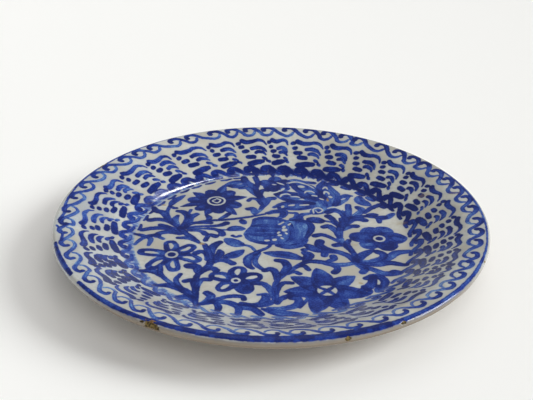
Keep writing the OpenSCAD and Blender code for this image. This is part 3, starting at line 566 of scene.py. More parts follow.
well = {
    "stemTone": 0.62,
    "fruitTone": 0.50,
    "birdTone": 0.60,
    "trunkVine": [
        [[3, 4, 6], [0, -13], [-2, -19], [-10, -26], [-15, -31]],
        [[4, 8, 4], [-11, -27], [-20, -38], [-20, -50], [-16, -56]],
        [[3, 5, 4], [-10, -30], [-14, -42], [-12, -51], [-5, -59]],
        [[6, 5, 5], [-24, -112], [-8, -114], [2, -109], [5, -100], [4, -88], [6, -76], [12, -66],
         [22, -54], [31, -44]],
        [[5, 7, 5], [29, -46], [36, -43], [46, -44], [56, -48], [66, -48], [78, -44]],
        [[6, 6, 3], [-14, -80], [-6, -81], [0, -90], [3, -104]],
        [[6, 7, 5], [-5, -59], [1, -57], [5, -64], [6, -76]],
        [[6, 8, 6], [6, -42], [12, -44], [15, -53], [11, -64]],
        [[5, 4, 2], [26, -64], [21, -61], [14, -66]],
        [[2, 5, 5], [23, -53], [30, -51], [34, -57]],
        [[5, 5, 3], [19, -79], [12, -79], [8, -85], [6, -96]],
        [[5, 6, 6], [6, -110], [9, -104], [17, -98]],
        [[6, 7, 2], [18, -102], [24, -103], [22, -113], [10, -118], [-2, -117]],
        [[3, 9, 3], [-6, -119], [8, -125], [20, -126], [31, -127]],
        [[3, 3, 2], [25, -116], [29, -109], [34, -98]],
        [[3, 4, 3], [-10, -98], [-3, -97], [-2, -106], [-10, -111], [-20, -113]],
        [[4, 7, 3], [-5, -99], [-4, -104], [-8, -109]],
    ],
    "lowerFan": [
        [[2, 7, 6], [-60, -115], [-48, -110], [-36, -110], [-25, -116], [-14, -119], [-7, -127]],
        [[4, 6, 6], [-46, -111], [-43, -116], [-43, -121]],
        [[5, 6, 6], [-29, -114], [-26, -119], [-26, -126]],
        [[2, 5, 5], [-60, -114], [-48, -107], [-35, -101], [-24, -101], [-22, -105]],
        [[7, 7, 3], [-54, -96], [-50, -101], [-53, -108], [-60, -114]],
        [[8, 7, 3], [-77, -104], [-70, -102], [-64, -108], [-61, -117]],
        [[3, 6, 5], [-62, -117], [-63, -104], [-64, -90], [-65, -78], [-64, -68]],
        [[5, 7, 5], [-65, -70], [-60, -60], [-55, -52], [-54, -44], [-56, -33], [-61, -16]],
        [[9, 9, 5], [-73, -53], [-66, -55], [-63, -66]],
        [[7, 6, 3], [-48, -60], [-51, -57], [-56, -58], [-62, -66]],
        [[7, 6, 4], [-34, -48], [-41, -43], [-48, -44], [-55, -50]],
        [[2, 11, 2], [-25, -25], [-33, -33], [-43, -38]],
        [[2, 2, 2], [-40, -38], [-46, -38], [-52, -42]],
        [[4, 8, 3], [-47, -26], [-46, -32], [-50, -41]],
        [[7, 5, 5], [-68, -31], [-64, -28], [-59, -32], [-57, -42]],
        [[6, 9, 5], [-47, -11], [-52, -17], [-55, -27], [-54, -41]],
        [[6, 5, 3], [-53, -75], [-60, -76], [-63, -87], [-63, -102]],
        [[6, 6, 3], [-74, -78], [-68, -77], [-65, -87], [-63, -102]],
        [[4, 5, 3], [-79, -67], [-82, -77], [-76, -90], [-64, -106]],
        [[4, 8, 3], [-99, -86], [-88, -85], [-76, -91], [-66, -101], [-62, -114]],
        [[5, 4, 2], [-98, -56], [-96, -68], [-89, -78], [-76, -92], [-64, -108]],
        [[5, 7, 3], [-114, -63], [-106, -62], [-99, -66], [-92, -74]],
    ],
    "leftFan": [
        [[5, 6, 3], [-87, 15], [-80, 4], [-73, -4], [-66, -13]],
        [[4, 6, 3], [-87, -4], [-78, -4], [-71, -8], [-66, -13]],
        [[6, 7, 5], [-122, 10], [-114, 13], [-102, 14], [-88, 11]],
        [[5, 5, 3], [-106, 20], [-99, 17], [-89, 11]],
        [[7, 6, 4], [-117, 29], [-110, 31], [-100, 28], [-92, 20], [-86, 12]],
        [[4, 5, 3], [-88, 14], [-97, 28], [-102, 42], [-101, 58]],
        [[3, 8, 2], [-101, 58], [-97, 69], [-88, 81]],
        [[3, 4, 4], [-99, 57], [-96, 54], [-94, 54]],
        [[5, 8, 4], [-116, 54], [-113, 48], [-106, 44], [-101, 33]],
        [[3, 7, 3], [-91, 39], [-93, 30], [-89, 17]],
        [[5, 8, 5], [-92, 48], [-86, 46], [-81, 38], [-81, 28], [-85, 17]],
        [[3, 3, 3], [-79, 51], [-81, 42], [-81, 34]],
        [[6, 8, 4], [-73, 42], [-78, 36], [-80, 27], [-85, 16]],
        [[4, 4, 3], [-84, 14], [-76, 23], [-62, 29], [-47, 31], [-34, 34], [-18, 39], [-6, 44]],
        [[4, 6, 5], [-74, 25], [-66, 26], [-58, 25]],
        [[4, 4, 7], [-81, 15], [-70, 18], [-56, 19], [-48, 21], [-43, 25]],
        [[3, 4, 7], [-80, 13], [-66, 14], [-54, 13], [-47, 8], [-46, 3]],
        [[2, 3, 2], [-56, 14], [-48, 12], [-41, 12]],
        [[3, 10, 2], [-41, 12], [-34, 15], [-25, 14]],
        [[3, 4, 7], [-82, 9], [-72, 10], [-65, 8], [-62, 4]],
        [[7, 5, 5], [-52, 0], [-58, 2], [-61, -8]],
        [[4, 3, 4], [-36, 1], [-33, -1], [-29, 1]],
        [[7, 7, 8], [-107, -1], [-105, 4], [-97, 7], [-86, 5]],
        [[4, 4, 4], [-105, -3], [-101, -6]],
        [[6, 7, 6], [-28, 30], [-26, 26]],
        [[6, 5, 3], [-42, 43], [-45, 38], [-50, 33]],
        [[5, 6, 4], [-62, 39], [-60, 35], [-61, 31]],
        [[3, 13, 4], [-42, -5], [-34, -12], [-26, -16]],
        [[3, 3, 3], [-27, -15], [-19, -18], [-14, -26]],
    ],
    "farVine": [
        [[2, 6, 6], [-16, 42], [-10, 54], [-7, 66], [-9, 76], [-14, 88]],
        [[6, 6, 6], [-14, 88], [-16, 99], [-14, 110], [-17, 123]],
        [[6, 7, 4], [-23, 54], [-18, 54], [-16, 44]],
        [[4, 5, 4], [-23, 71], [-20, 76], [-14, 74], [-10, 64]],
        [[7, 7, 3], [2, 77], [-3, 75], [-6, 65], [-11, 54]],
        [[6, 5, 4], [-4, 94], [-9, 94], [-11, 86], [-9, 75]],
        [[4, 7, 6], [-32, 98], [-25, 99], [-19, 91], [-12, 80]],
        [[7, 9, 6], [-45, 105], [-38, 111], [-29, 113]],
        [[5, 8, 5], [-43, 103], [-35, 102], [-27, 106]],
        [[6, 9, 4], [-29, 123], [-27, 113], [-20, 104], [-15, 94]],
        [[4, 5, 2], [-2, 45], [4, 48], [12, 47], [10, 39]],
        [[4, 4, 3], [-4, 46], [3, 50], [10, 50]],
    ],
    "rightVine": [
        [[5, 6, 7], [77, -42], [76, -28], [69, -14], [65, 0], [66, 18]],
        [[7, 7, 6], [66, 16], [71, 30], [76, 46], [77, 64]],
        [[7, 7, 4], [51, 20], [56, 21], [62, 12], [64, 0]],
        [[7, 5, 4], [42, 3], [48, 5], [55, 1], [63, -7]],
        [[3, 12, 7], [36, 35], [43, 33], [49, 31]],
        [[3, 3, 3], [50, 32], [59, 29], [65, 20]],
        [[8, 6, 4], [56, 41], [60, 35], [65, 23]],
        [[7, 6, 6], [56, 49], [62, 52], [69, 48], [73, 33]],
        [[6, 6, 4], [69, 36], [69, 29], [68, 20]],
        [[8, 7, 4], [91, 34], [86, 36], [79, 34], [73, 24]],
        [[7, 6, 3], [82, 22], [76, 21], [68, 13]],
        [[4, 5, 6], [76, 38], [90, 42], [103, 40], [111, 41]],
        [[3, 6, 4], [102, 41], [105, 36], [105, 30]],
        [[6, 8, 4], [86, 60], [90, 53], [80, 40]],
        [[5, 12, 5], [89, 82], [90, 73], [98, 65]],
        [[3, 6, 5], [92, 48], [99, 58], [110, 67]],
        [[3, 5, 5], [93, 42], [98, 46], [103, 45]],
        [[6, 7, 8], [119, 46], [113, 40], [106, 38]],
        [[5, 7, 9], [80, -47], [92, -56], [101, -62], [111, -61]],
        [[4, 8, 5], [80, -45], [95, -47], [108, -44], [122, -48]],
        [[5, 9, 6], [81, -43], [98, -42], [108, -34], [116, -26], [127, -24]],
        [[6, 7, 7], [92, -41], [101, -36], [103, -29], [98, -25]],
        [[6, 9, 4], [79, -40], [84, -31], [94, -22]],
        [[7, 7, 5], [82, -60], [84, -55], [78, -48]],
        [[6, 7, 7], [77, -43], [70, -32], [61, -26], [51, -26], [49, -32]],
        [[5, 5, 4], [30, -23], [34, -22]],
        [[6, 10, 5], [34, -15], [40, -21], [49, -25]],
        [[9, 7, 4], [46, -8], [45, -14], [52, -21], [62, -25]],
        [[7, 7, 5], [60, -14], [64, -13], [69, -14]],
        [[5, 6, 5], [73, -5], [71, -12], [75, -24]],
        [[7, 6, 3], [57, -34], [57, -39], [50, -43]],
        [[7, 6, 4], [57, -61], [60, -55], [57, -50], [50, -46]],
        [[6, 10, 5], [31, -28], [35, -33], [31, -42]],
        [[2, 12, 4], [-6, -29], [5, -31], [16, -33], [29, -39]],
        [[6, 8, 6], [84, -70], [93, -66], [100, -74], [96, -88]],
        [[6, 9, 4], [91, -68], [87, -81], [77, -91]],
        [[7, 5, 5], [82, -84], [86, -90], [84, -94]],
        [[4, 5, 4], [94, -82], [92, -90], [96, -92]],
        [[6, 7, 4], [114, -60], [108, -58]],
    ],
    # the bird's feathers are filled shapes, with lines over them
    "birdShapes": [
        [[3, 58], [8, 66], [16, 70], [28, 71], [42, 69], [45, 60], [37, 55], [26, 53], [14, 55]],
        [[3, 86], [9, 91], [18, 92], [30, 89], [44, 81], [57, 68], [44, 68], [30, 70], [19, 73], [10, 79]],
        [[21, 109], [28, 111], [37, 105], [46, 94], [53, 78], [44, 78], [34, 88], [25, 92], [23, 100]],
        [[54, 116], [48, 106], [47, 92], [52, 78], [59, 66], [66, 63], [69, 76], [68, 88], [62, 103]],
        [[82, 84], [76, 86], [69, 81], [65, 70], [67, 62], [76, 72]],
        [[42, 70], [54, 74], [62, 66], [60, 56], [52, 46], [40, 44], [38, 52], [44, 60]],
    ],
    "leftEdge": [
        [[3, 5, 6], [-126, -17], [-121, -7], [-114, -1], [-107, 1]],
        [[3, 5, 5], [-113, -18], [-112, -9], [-115, -1]],
        [[3, 5, 3], [-128, 2], [-122, 0], [-115, -3]],
    ],
    "bird": [
        [[4, 5, 5], [3, 58], [12, 67], [26, 70], [42, 67]],
        [[4, 4, 4], [8, 56], [26, 54], [40, 58]],
        [[4, 5, 5], [4, 86], [12, 76], [22, 71], [36, 69]],
        [[5, 4, 5], [5, 86], [14, 91], [24, 87], [34, 81], [44, 74]],
        [[4, 4, 4], [15, 82], [18, 84], [24, 84], [32, 78]],
        [[6, 6, 6], [22, 108], [26, 97], [34, 88], [46, 76]],
        [[5, 6, 7], [15, 105], [27, 110], [40, 104], [48, 92], [52, 78]],
        [[5, 5, 6], [14, 114], [24, 118], [34, 114], [44, 112]],
        [[4, 6, 6], [54, 115], [49, 104], [50, 90], [55, 74]],
        [[4, 5, 6], [55, 114], [63, 98], [68, 84], [64, 64]],
        [[3, 4, 4], [82, 84], [75, 86], [69, 78], [67, 68]],
        [[4, 5, 4], [58, 50], [64, 56], [72, 50]],
    ],
    "fruit": [
        [-18, 34], [-12, 38], [0, 38], [9, 35], [14, 32], [22, 34], [32, 32], [40, 24], [40, 14], [36, 2],
        [35, -8], [30, -18], [20, -21], [10, -19], [2, -14], [-6, -13], [-14, -10], [-22, -5], [-26, 3],
        [-24, 12], [-20, 20], [-19, 28],
    ],
    "fruitLines": [
        [[3, 5, 3], [-17, 32], [-10, 36], [2, 36], [14, 31]],
        [[3, 5, 3], [-24, 3], [-20, -5], [-10, -11], [2, -13]],
        [[3, 6, 4], [26, 34], [37, 27], [39, 15], [34, 0]],
        [[4, 8, 4], [6, -16], [18, -18], [28, -13]],
        [[2, 4, 2], [-19, 20], [-6, 21], [10, 19]],
        [[2, 4, 2], [-14, 11], [-2, 12], [8, 10]],
        [[2, 5, 2], [-22, 5], [-8, 3], [6, 5]],
        [[3, 4, 3], [18, 26], [20, 14], [20, 0], [14, -12]],
        [[5, 8, 4], [20, 34], [28, 36], [26, 30]],
        [[5, 6, 4], [26, 34], [30, 43], [38, 46]],
        [[4, 4, 3], [24, 38], [25, 46], [18, 47]],
        [[4, 8, 3], [8, 36], [12, 42], [12, 50], [0, 50]],
    ],
    "seeds": [
        [[2, 2, 2], [8, 24], [12, 28]], [[2, 2, 1], [17, 23], [19, 26]], [[2, 3, 2], [12, 17], [13, 20]],
        [[3, 5, 3], [12, 12], [14, 14]], [[1, 2, 2], [14, 8], [15, 6]], [[2, 2, 2], [7, 7], [8, 9]],
        [[3, 3, 3], [8, 3], [9, 3]], [[2, 2, 2], [10, -2], [11, -3]], [[3, 4, 3], [3, -6], [4, -5]],
        [[2, 3, 2], [-5, -7], [-2, -7]],
    ],
    "birdGaps": [
        [[2, 3, 2], [18, 62], [23, 63.5]], [[2, 2.6, 2], [29, 63], [37, 64]], [[2, 3, 2], [11, 58],
         [12, 61]],
        [[1, 2.4, 1], [6, 112], [9, 110], [13, 107]], [[1, 2, 1], [1, 108], [5, 107]], [[1, 3, 2],
         [10, 94], [13, 99]],
        [[1, 2.4, 1], [9, 80], [11, 85], [16, 87], [20, 84]], [[1, 2.4, 1], [20, 81], [26, 81], [29, 79]],
        [[1, 2.4, 1], [29, 76], [33, 75]], [[3, 5, 3], [29, 104], [33, 103]],
        [[1, 2.4, 1], [34, 89], [36, 93], [41, 93], [44, 90]], [[2, 2.4, 2], [42, 84], [46, 83]],
        [[1, 2, 1], [49, 78], [53, 75]], [[1, 2.4, 1], [53, 99], [56, 103], [58, 98]],
        [[1, 2.4, 1], [54, 88], [55, 93], [58, 91], [59, 87]], [[2, 3.4, 2], [59, 83], [61, 80]],
        [[1, 2, 1], [71, 76], [75, 79]],
        [[1, 2, 1], [16, 111], [26, 114], [37, 108], [44, 100]], [[1, 2, 1], [56, 57], [63, 60], [70, 54]],
        [[1, 1.6, 1], [42, 47], [42, 55], [47, 58], [51, 53], [47, 48], [44, 52]],
    ],
}

# a blossom is its middle, the tone of its petals and each petal as (direction, length, width, tip):
# tip 1 is pointed, 0 is round and 2 is round with a slot left bare along its middle
blossoms = {
    "sunflower": {
        "middle": (-55, 70), "tone": 0.66, "filled": 18, "eye": 8.5,
        "petals": [
            (79, 37, 10, 1), (54, 27, 14, 0), (17, 32, 10, 1), (-24, 27, 15, 0), (-53, 36, 10, 1),
             (-80, 26, 14, 0),
            (-107, 32, 10, 1), (-134, 27, 12, 0), (-160, 38, 9, 1), (175, 29, 14, 0), (144, 31, 11, 1),
            (110, 25, 14, 0),
        ],
    },
    "rosette": {
        "middle": (102, -1), "tone": 0.52, "filled": 12, "eye": 4.8,
        "petals": [
            (120, 23, 21, 0), (70, 23, 22, 0), (1, 26, 19, 1), (-63, 23, 21, 0), (-135, 23, 20, 0),
             (172, 28, 19, 0),
        ],
    },
    "star": {
        "middle": (49, -90), "tone": 0.60, "filled": 15, "eye": 8.5,
        "petals": [
            (103, 37, 17, 1), (43, 35, 15, 1), (-9, 37, 17, 1), (-64, 34, 18, 1), (-110, 37, 17, 1),
            (184, 38, 16, 1), (146, 38, 16, 1),
        ],
    },
    "daisy": {
        "middle": (-30, -76), "tone": 0.62, "filled": 9, "eye": 3.2,
        "petals": [(84, 23, 17, 2), (20, 24, 17, 2), (-58, 23, 17, 0), (-132, 22, 15, 2), (158, 25, 15, 2)],
    },
    "lily": {
        "middle": (-90, -34), "tone": 0.58, "filled": 11, "eye": 5.0,
        "petals": [
            (99, 25, 14, 2), (171, 32, 13, 2), (232, 31, 15, 2), (280, 29, 13, 2), (-20, 29, 14, 2),
             (40, 26, 14, 2),
        ],
    },
    "farFlower": {
        "middle": (6, 108), "tone": 0.56, "filled": 9, "eye": 4.0,
        "petals": [
            (100, 18, 14, 0), (38, 15, 12, 0), (-50, 17, 13, 0), (-110, 17, 13, 0), (165, 19, 15, 0),
            (215, 16, 12, 0),
        ],
    },
}


def paintBlossom(canvas, flower, seed):
    cx, cy = flower["middle"]
    fillShape(canvas, ring((cx, cy), flower["filled"], 1)[1:-1], flower["tone"])
    for number, (direction, length, width, tip) in enumerate(flower["petals"]):
        turn = math.radians(direction)
        sway = random.uniform(-1.2, 1.2)

        def at(along, aside):
            return [
                cx + along * math.cos(turn) - aside * math.sin(turn),
                cy + along * math.sin(turn) + aside * math.cos(turn),
            ]

        if tip == 1:
            shape = [[width * 0.95, width * 1.12, 1.4], at(2, 0), at(length * 0.5, sway), at(length - 1, 0)]
        else:
            shape = [[width * 0.5, width * 0.98, width * 0.9], at(2, 0), at(length * 0.5, sway)]
            shape.append(at(length - width * 0.42, 0))
        paint(canvas, shape, flower["tone"] + random.uniform(-0.1, 0.08), pool=0.12, seed=seed + number)
        # a darker line down one side of the petal, where the brush was lifted
        side = width * 0.30
        line = [[1.5, 2.2, 1.5], at(4, side * 0.5), at(length * 0.5, side), at(length - 3, side * 0.2)]
        paint(canvas, line, flower["tone"] + 0.10, pool=0.0, seed=seed + number + 40)
        if tip == 2:
            slot = width * 0.26
            gap = [[1, slot, slot * 0.8], at(length * 0.4, 0), at(length * 0.6, sway)]
            leaveBare(canvas, gap + [at(length * 0.75, 0)])


def ring(middle, radius, width):
    # widths and places of a stroke once round
    places = [
        [middle[0] + radius * math.cos(math.radians(a)), middle[1] + radius * math.sin(math.radians(a))]
        for a in range(0, 361, 24)
    ]
    return [[width] * 3] + places


def paintWell(canvas):
    for seed, name in enumerate(["trunkVine", "lowerFan", "leftFan", "farVine", "rightVine", "leftEdge"]):
        for number, stroke in enumerate(well[name]):
            tone = well["stemTone"] + random.uniform(-0.12, 0.10)
            paint(canvas, stroke, tone, seed=seed * 50 + number)
    for seed, flower in enumerate(blossoms.values()):
        paintBlossom(canvas, flower, seed * 60)
    for name in ["sunflower", "rosette", "daisy", "lily"]:
        flower = blossoms[name]
        leaveBare(canvas, ring(flower["middle"], flower["eye"], 1.9))
    leaveBare(canvas, [[1.4, 1.6, 1.2], [-55, 75], [-51, 72], [-54, 66], [-59, 70], [-56, 73]])
    x, y = blossoms["star"]["middle"]
    leaveBare(canvas, [[15, 15, 15], [x - 1, y], [x + 1, y]])
    paint(canvas, [[3, 4, 3], [x - 6, y + 4], [x, y], [x + 5, y - 5]], 0.7)
    paint(canvas, [[3, 4, 3], [x + 5, y + 5], [x, y], [x - 5, y - 5]], 0.7)
    for shape in well["birdShapes"]:
        fillShape(canvas, shape, well["birdTone"] - 0.08)
    for number, stroke in enumerate(well["bird"]):
        paint(canvas, stroke, well["birdTone"] + random.uniform(-0.1, 0.1), seed=400 + number)
    for stroke in well["birdGaps"]:
        leaveBare(canvas, stroke)
    fillShape(canvas, well["fruit"], well["fruitTone"])
    for number, stroke in enumerate(well["fruitLines"]):
        paint(canvas, stroke, well["fruitTone"] + 0.12, pool=0.05, seed=500 + number)
    for stroke in well["seeds"]:
        leaveBare(canvas, stroke)


def runInKilnAndSheen(canvas):
    # cobalt that ran: pale streaks down the left of the wall's foot and dark ones at its far side, and a
    # painted bluish sheen on the left
    x, y = canvas["x"], canvas["y"]
    radius = np.hypot(x, y)
    angle = np.degrees(np.arctan2(y, x)) % 360
    wide = cloud(angle * 3.4, radius * 0.25, 4.0, 8)
    narrow = cloud(angle * 9.0, radius * 0.5, 4.0, 9)
    streaks = wide * 0.6 + narrow * 0.4
    left = ease(angle, 95, 140) * (1 - ease(angle, 232, 250))
    far = ease(angle, 20, 50) * (1 - ease(angle, 90, 118))
    foot = ease(radius, 126, 131) * (1 - ease(radius, 133, 143))
    runs = foot * ease(streaks, 0.34, 0.60) * (0.46 * left + 0.50 * far)
    haze = 0.20 * left * ease(radius, 126, 129) * (1 - ease(radius, 132, 137))
    runs = np.maximum(runs, haze * (0.4 + 0.9 * streaks))
    # a faint blue over the left of the wall and the rim: partly blue that the glaze took up, partly a
    # painted bluish sheen on the side the light falls on
    breath = ease(angle, 105, 150) * (1 - ease(angle, 215, 245)) * ease(radius, 137, 150)
    canvas["wash"] = np.maximum(runs, 0.07 * breath * (0.6 + 0.8 * cloud(x, y, 16, 10)))


finish = {
    "glazeLight": "#c7c8c2",
    "glazeDull": "#b3afa4",
    # the underside's colours are darker than the face's: partly its duller glaze, partly painted shade under
    # the dish
    "backPaleShaded": "#a39a8d",
    "backDullShaded": "#7d6f60",
    "cobaltPale": "#7199c4",
    "cobaltMid": "#3b5ba4",
    "cobaltDeep": "#1d378b",
    "cobaltInk": "#0f1f62",
    "thinGlazeAndShade": "#807364",  # where it ran thin over the rolled lip, with painted shade under the near lip
    "stain": "#9a8045",
    "iron": "#7a5a34",
    "chipClay": "#7d6a3e",
    "chipDark": "#352c1b",
    "clay": "#7a5a38",
    "clayDark": "#46341f",
    "clayGrit": "#c39a72",
    "mottle": 45.0,  # mm across the cloudy patches of the glaze
    "speckGap": 2.5,  # mm between the places where an iron speck or a pinhole may lie
    "brushGrain": 1.6,  # mm, the ragged grain of a brush stroke
    "peel": 6.0,  # mm across the lumps of the glaze's skin
    "grit": 0.8,  # mm across the sand in the clay
    "refraction": 1.46,
}
smooth = {"interpolation_type": "SMOOTHSTEP"}


def lumps(size):
    # noise scale for lumps that many mm across
    return 1 / (size * mm)


def emptyMaterial(name):
    material = bpy.data.materials.new(name)
    material.use_nodes = True
    material.node_tree.nodes.clear()
    return material, material.node_tree


def glazeGround(tree, place, cells, light, dull):
    # cloudy warm white with a fine grain and rare iron specks, and grey-brown over the near lip that is
    # partly thin glaze and partly painted shade
    size = lumps(finish["mottle"])
    clouds = addNode(tree, "ShaderNodeTexNoise", {"Scale": size, "Detail": 3.0}, {0: place})
    span = {**smooth, "From Min": 0.35, "From Max": 0.65}
    mottle = addNode(tree, "ShaderNodeMapRange", span, {0: clouds})
    ends = {6: srgb(light), 7: srgb(dull)}
    ground = addNode(tree, "ShaderNodeMix", {"data_type": "RGBA", **ends}, {0: mottle})
    sand = addNode(tree, "ShaderNodeTexNoise", {"Scale": lumps(3.5), "Detail": 3.0}, {0: place})
    fine = addNode(
        tree, "ShaderNodeMapRange", {**smooth, "From Min": 0.35, "From Max": 0.7, "To Max": 0.5}, {0: sand}
    )
    ground = addNode(tree, "ShaderNodeMix", {"data_type": "RGBA", 7: srgb(dull)}, {0: fine, 6: ground})
    speck = addNode(
        tree,
        "ShaderNodeMapRange",
        {**smooth, "From Min": 0.10, "From Max": 0.17, "To Min": 1.0, "To Max": 0.0},
        {0: cells.outputs["Distance"]},
    )
    chance = addNode(tree, "ShaderNodeSeparateColor", {}, {0: cells.outputs["Color"]})
    rare = addNode(
        tree,
        "ShaderNodeMapRange",
        {**smooth, "From Min": 0.80, "From Max": 0.84, "To Max": 0.55},
        {0: chance},
    )
    iron = addNode(tree, "ShaderNodeMath", {"operation": "MULTIPLY"}, {0: speck, 1: rare})
    ground = addNode(
        tree, "ShaderNodeMix", {"data_type": "RGBA", 7: srgb(finish["iron"])}, {0: iron, 6: ground}
    )
    # grey-brown on the near lip: partly thin glaze, partly painted shade
    thin = addNode(tree, "ShaderNodeAttribute", {"attribute_name": "thin"}).outputs["Fac"]
    return addNode(
        tree, "ShaderNodeMix", {"data_type": "RGBA", 7: srgb(finish["thinGlazeAndShade"])}, {0: thin, 6: ground}
    )


def cobaltOver(tree, place, ground):
    # blue from pale to ink by how much cobalt lies there, with a faint breath of blue round each stroke
    edge = addNode(tree, "ShaderNodeAttribute", {"attribute_name": "edge"}).outputs["Fac"]
    load = addNode(tree, "ShaderNodeAttribute", {"attribute_name": "load"}).outputs["Fac"]
    wash = addNode(tree, "ShaderNodeAttribute", {"attribute_name": "wash"}).outputs["Fac"]
    size = lumps(finish["brushGrain"])
    dry = addNode(tree, "ShaderNodeTexNoise", {"Scale": size, "Detail": 2.0}, {0: place})
    grain = addNode(
        tree,
        "ShaderNodeMapRange",
        {**smooth, "From Min": 0.3, "From Max": 0.7, "To Min": -0.13, "To Max": 0.13},
        {0: dry},
    )
    amount = addNode(tree, "ShaderNodeMath", {"operation": "MAXIMUM"}, {0: load, 1: wash})
    strength = addNode(tree, "ShaderNodeMath", {"operation": "ADD"}, {0: amount, 1: grain})
    blue = addNode(tree, "ShaderNodeValToRGB", {}, {0: strength})
    stops = [(0.05, "cobaltPale"), (0.38, "cobaltMid"), (0.68, "cobaltDeep"), (1.0, "cobaltInk")]
    elements = blue.color_ramp.elements
    while len(elements) < len(stops):
        elements.new(1.0)
    for element, (at, name) in zip(elements, stops):
        element.position = at
        element.color = srgb(finish[name])
    ragged = addNode(tree, "ShaderNodeMath", {"operation": "ADD"}, {0: edge, 1: grain})
    inside = addNode(
        tree,
        "ShaderNodeMapRange",
        {**smooth, "From Min": -0.55, "From Max": 0.45, "To Min": 1.0, "To Max": 0.0},
        {0: ragged},
    )
    washed = addNode(
        tree, "ShaderNodeMapRange", {**smooth, "From Min": 0.02, "From Max": 0.24, "To Max": 0.9}, {0: wash}
    )
    covered = addNode(tree, "ShaderNodeMath", {"operation": "MAXIMUM"}, {0: inside, 1: washed})
    color = addNode(tree, "ShaderNodeMix", {"data_type": "RGBA"}, {0: covered, 6: ground, 7: blue})
    halo = addNode(
        tree,
        "ShaderNodeMapRange",
        {**smooth, "From Min": 0.2, "From Max": 2.6, "To Min": 0.16, "To Max": 0.0},
        {0: edge},
    )
    uncovered = addNode(tree, "ShaderNodeMath", {"operation": "SUBTRACT", 0: 1.0}, {1: covered})
    breath = addNode(tree, "ShaderNodeMath", {"operation": "MULTIPLY"}, {0: halo, 1: uncovered})
    return addNode(
        tree, "ShaderNodeMix", {"data_type": "RGBA", 7: srgb(finish["cobaltPale"])}, {0: breath, 6: color}
    )


def wearOver(tree, place, color):
    # stains in the glaze, and the clay where a chip is knocked off; also gives where it is bare
    stain = addNode(tree, "ShaderNodeAttribute", {"attribute_name": "stain"}).outputs["Fac"]
    color = addNode(
        tree, "ShaderNodeMix", {"data_type": "RGBA", 7: srgb(finish["stain"])}, {0: stain, 6: color}
    )
    chip = addNode(tree, "ShaderNodeAttribute", {"attribute_name": "chip"}).outputs["Fac"]
    crumbs = addNode(tree, "ShaderNodeTexNoise", {"Scale": lumps(2.0), "Detail": 2.0}, {0: place})
    rough = addNode(
        tree,
        "ShaderNodeMapRange",
        {**smooth, "From Min": 0.3, "From Max": 0.7, "To Min": -0.2, "To Max": 0.2},
        {0: crumbs},
    )
    broken = addNode(tree, "ShaderNodeMath", {"operation": "ADD"}, {0: chip, 1: rough})
    bare = addNode(tree, "ShaderNodeMapRange", {**smooth, "From Min": 0.42, "From Max": 0.55}, {0: broken})
    sand = addNode(tree, "ShaderNodeTexNoise", {"Scale": lumps(1.5), "Detail": 2.0}, {0: place})
    sooty = addNode(tree, "ShaderNodeMapRange", {**smooth, "From Min": 0.35, "From Max": 0.65}, {0: sand})
    ends = {6: srgb(finish["chipClay"]), 7: srgb(finish["chipDark"])}
    brown = addNode(tree, "ShaderNodeMix", {"data_type": "RGBA", **ends}, {0: sooty})
    return addNode(tree, "ShaderNodeMix", {"data_type": "RGBA"}, {0: bare, 6: color, 7: brown}), bare


def tinGlaze(name, light, dull):
    # White tin glaze over brick earthenware, fired once with the cobalt sunk into it: a soft shine,
    # a mottled warm white, pinholes and iron specks, and blue that pools dark at the brush's edges.
    material, tree = emptyMaterial(name)
    place = addNode(tree, "ShaderNodeTexCoord").outputs["Object"]
    cells = addNode(tree, "ShaderNodeTexVoronoi", {"Scale": lumps(finish["speckGap"])}, {"Vector": place})
    ground = glazeGround(tree, place, cells, light, dull)
    color, bare = wearOver(tree, place, cobaltOver(tree, place, ground))
    wide = addNode(tree, "ShaderNodeTexNoise", {"Scale": lumps(22.0), "Detail": 3.0}, {0: place})
    shine = addNode(
        tree,
        "ShaderNodeMapRange",
        {**smooth, "From Min": 0.3, "From Max": 0.7, "To Min": 0.07, "To Max": 0.14},
        {0: wide},
    )
    roughness = addNode(tree, "ShaderNodeMix", {"data_type": "FLOAT", 3: 0.85}, {0: bare, 2: shine})
    # the skin is slightly lumpy, with pinholes
    peel = addNode(tree, "ShaderNodeTexNoise", {"Scale": lumps(finish["peel"]), "Detail": 1.0}, {0: place})
    pits = addNode(
        tree,
        "ShaderNodeMapRange",
        {**smooth, "From Min": 0.0, "From Max": 0.12},
        {0: cells.outputs["Distance"]},
    )
    swell = addNode(tree, "ShaderNodeMath", {"operation": "MULTIPLY", 1: 0.10}, {0: peel})
    hole = addNode(tree, "ShaderNodeMath", {"operation": "MULTIPLY", 1: 0.03}, {0: pits})
    height = addNode(tree, "ShaderNodeMath", {"operation": "ADD"}, {0: swell, 1: hole})
    bump = addNode(tree, "ShaderNodeBump", {"Strength": 0.8, "Distance": 1 * mm}, {"Height": height})
    inputs = {"Base Color": color, "Roughness": roughness, "Normal": bump}
    shader = addNode(tree, "ShaderNodeBsdfPrincipled", {"IOR": finish["refraction"]}, inputs)
    addNode(tree, "ShaderNodeOutputMaterial", {}, {"Surface": shader})
    return material


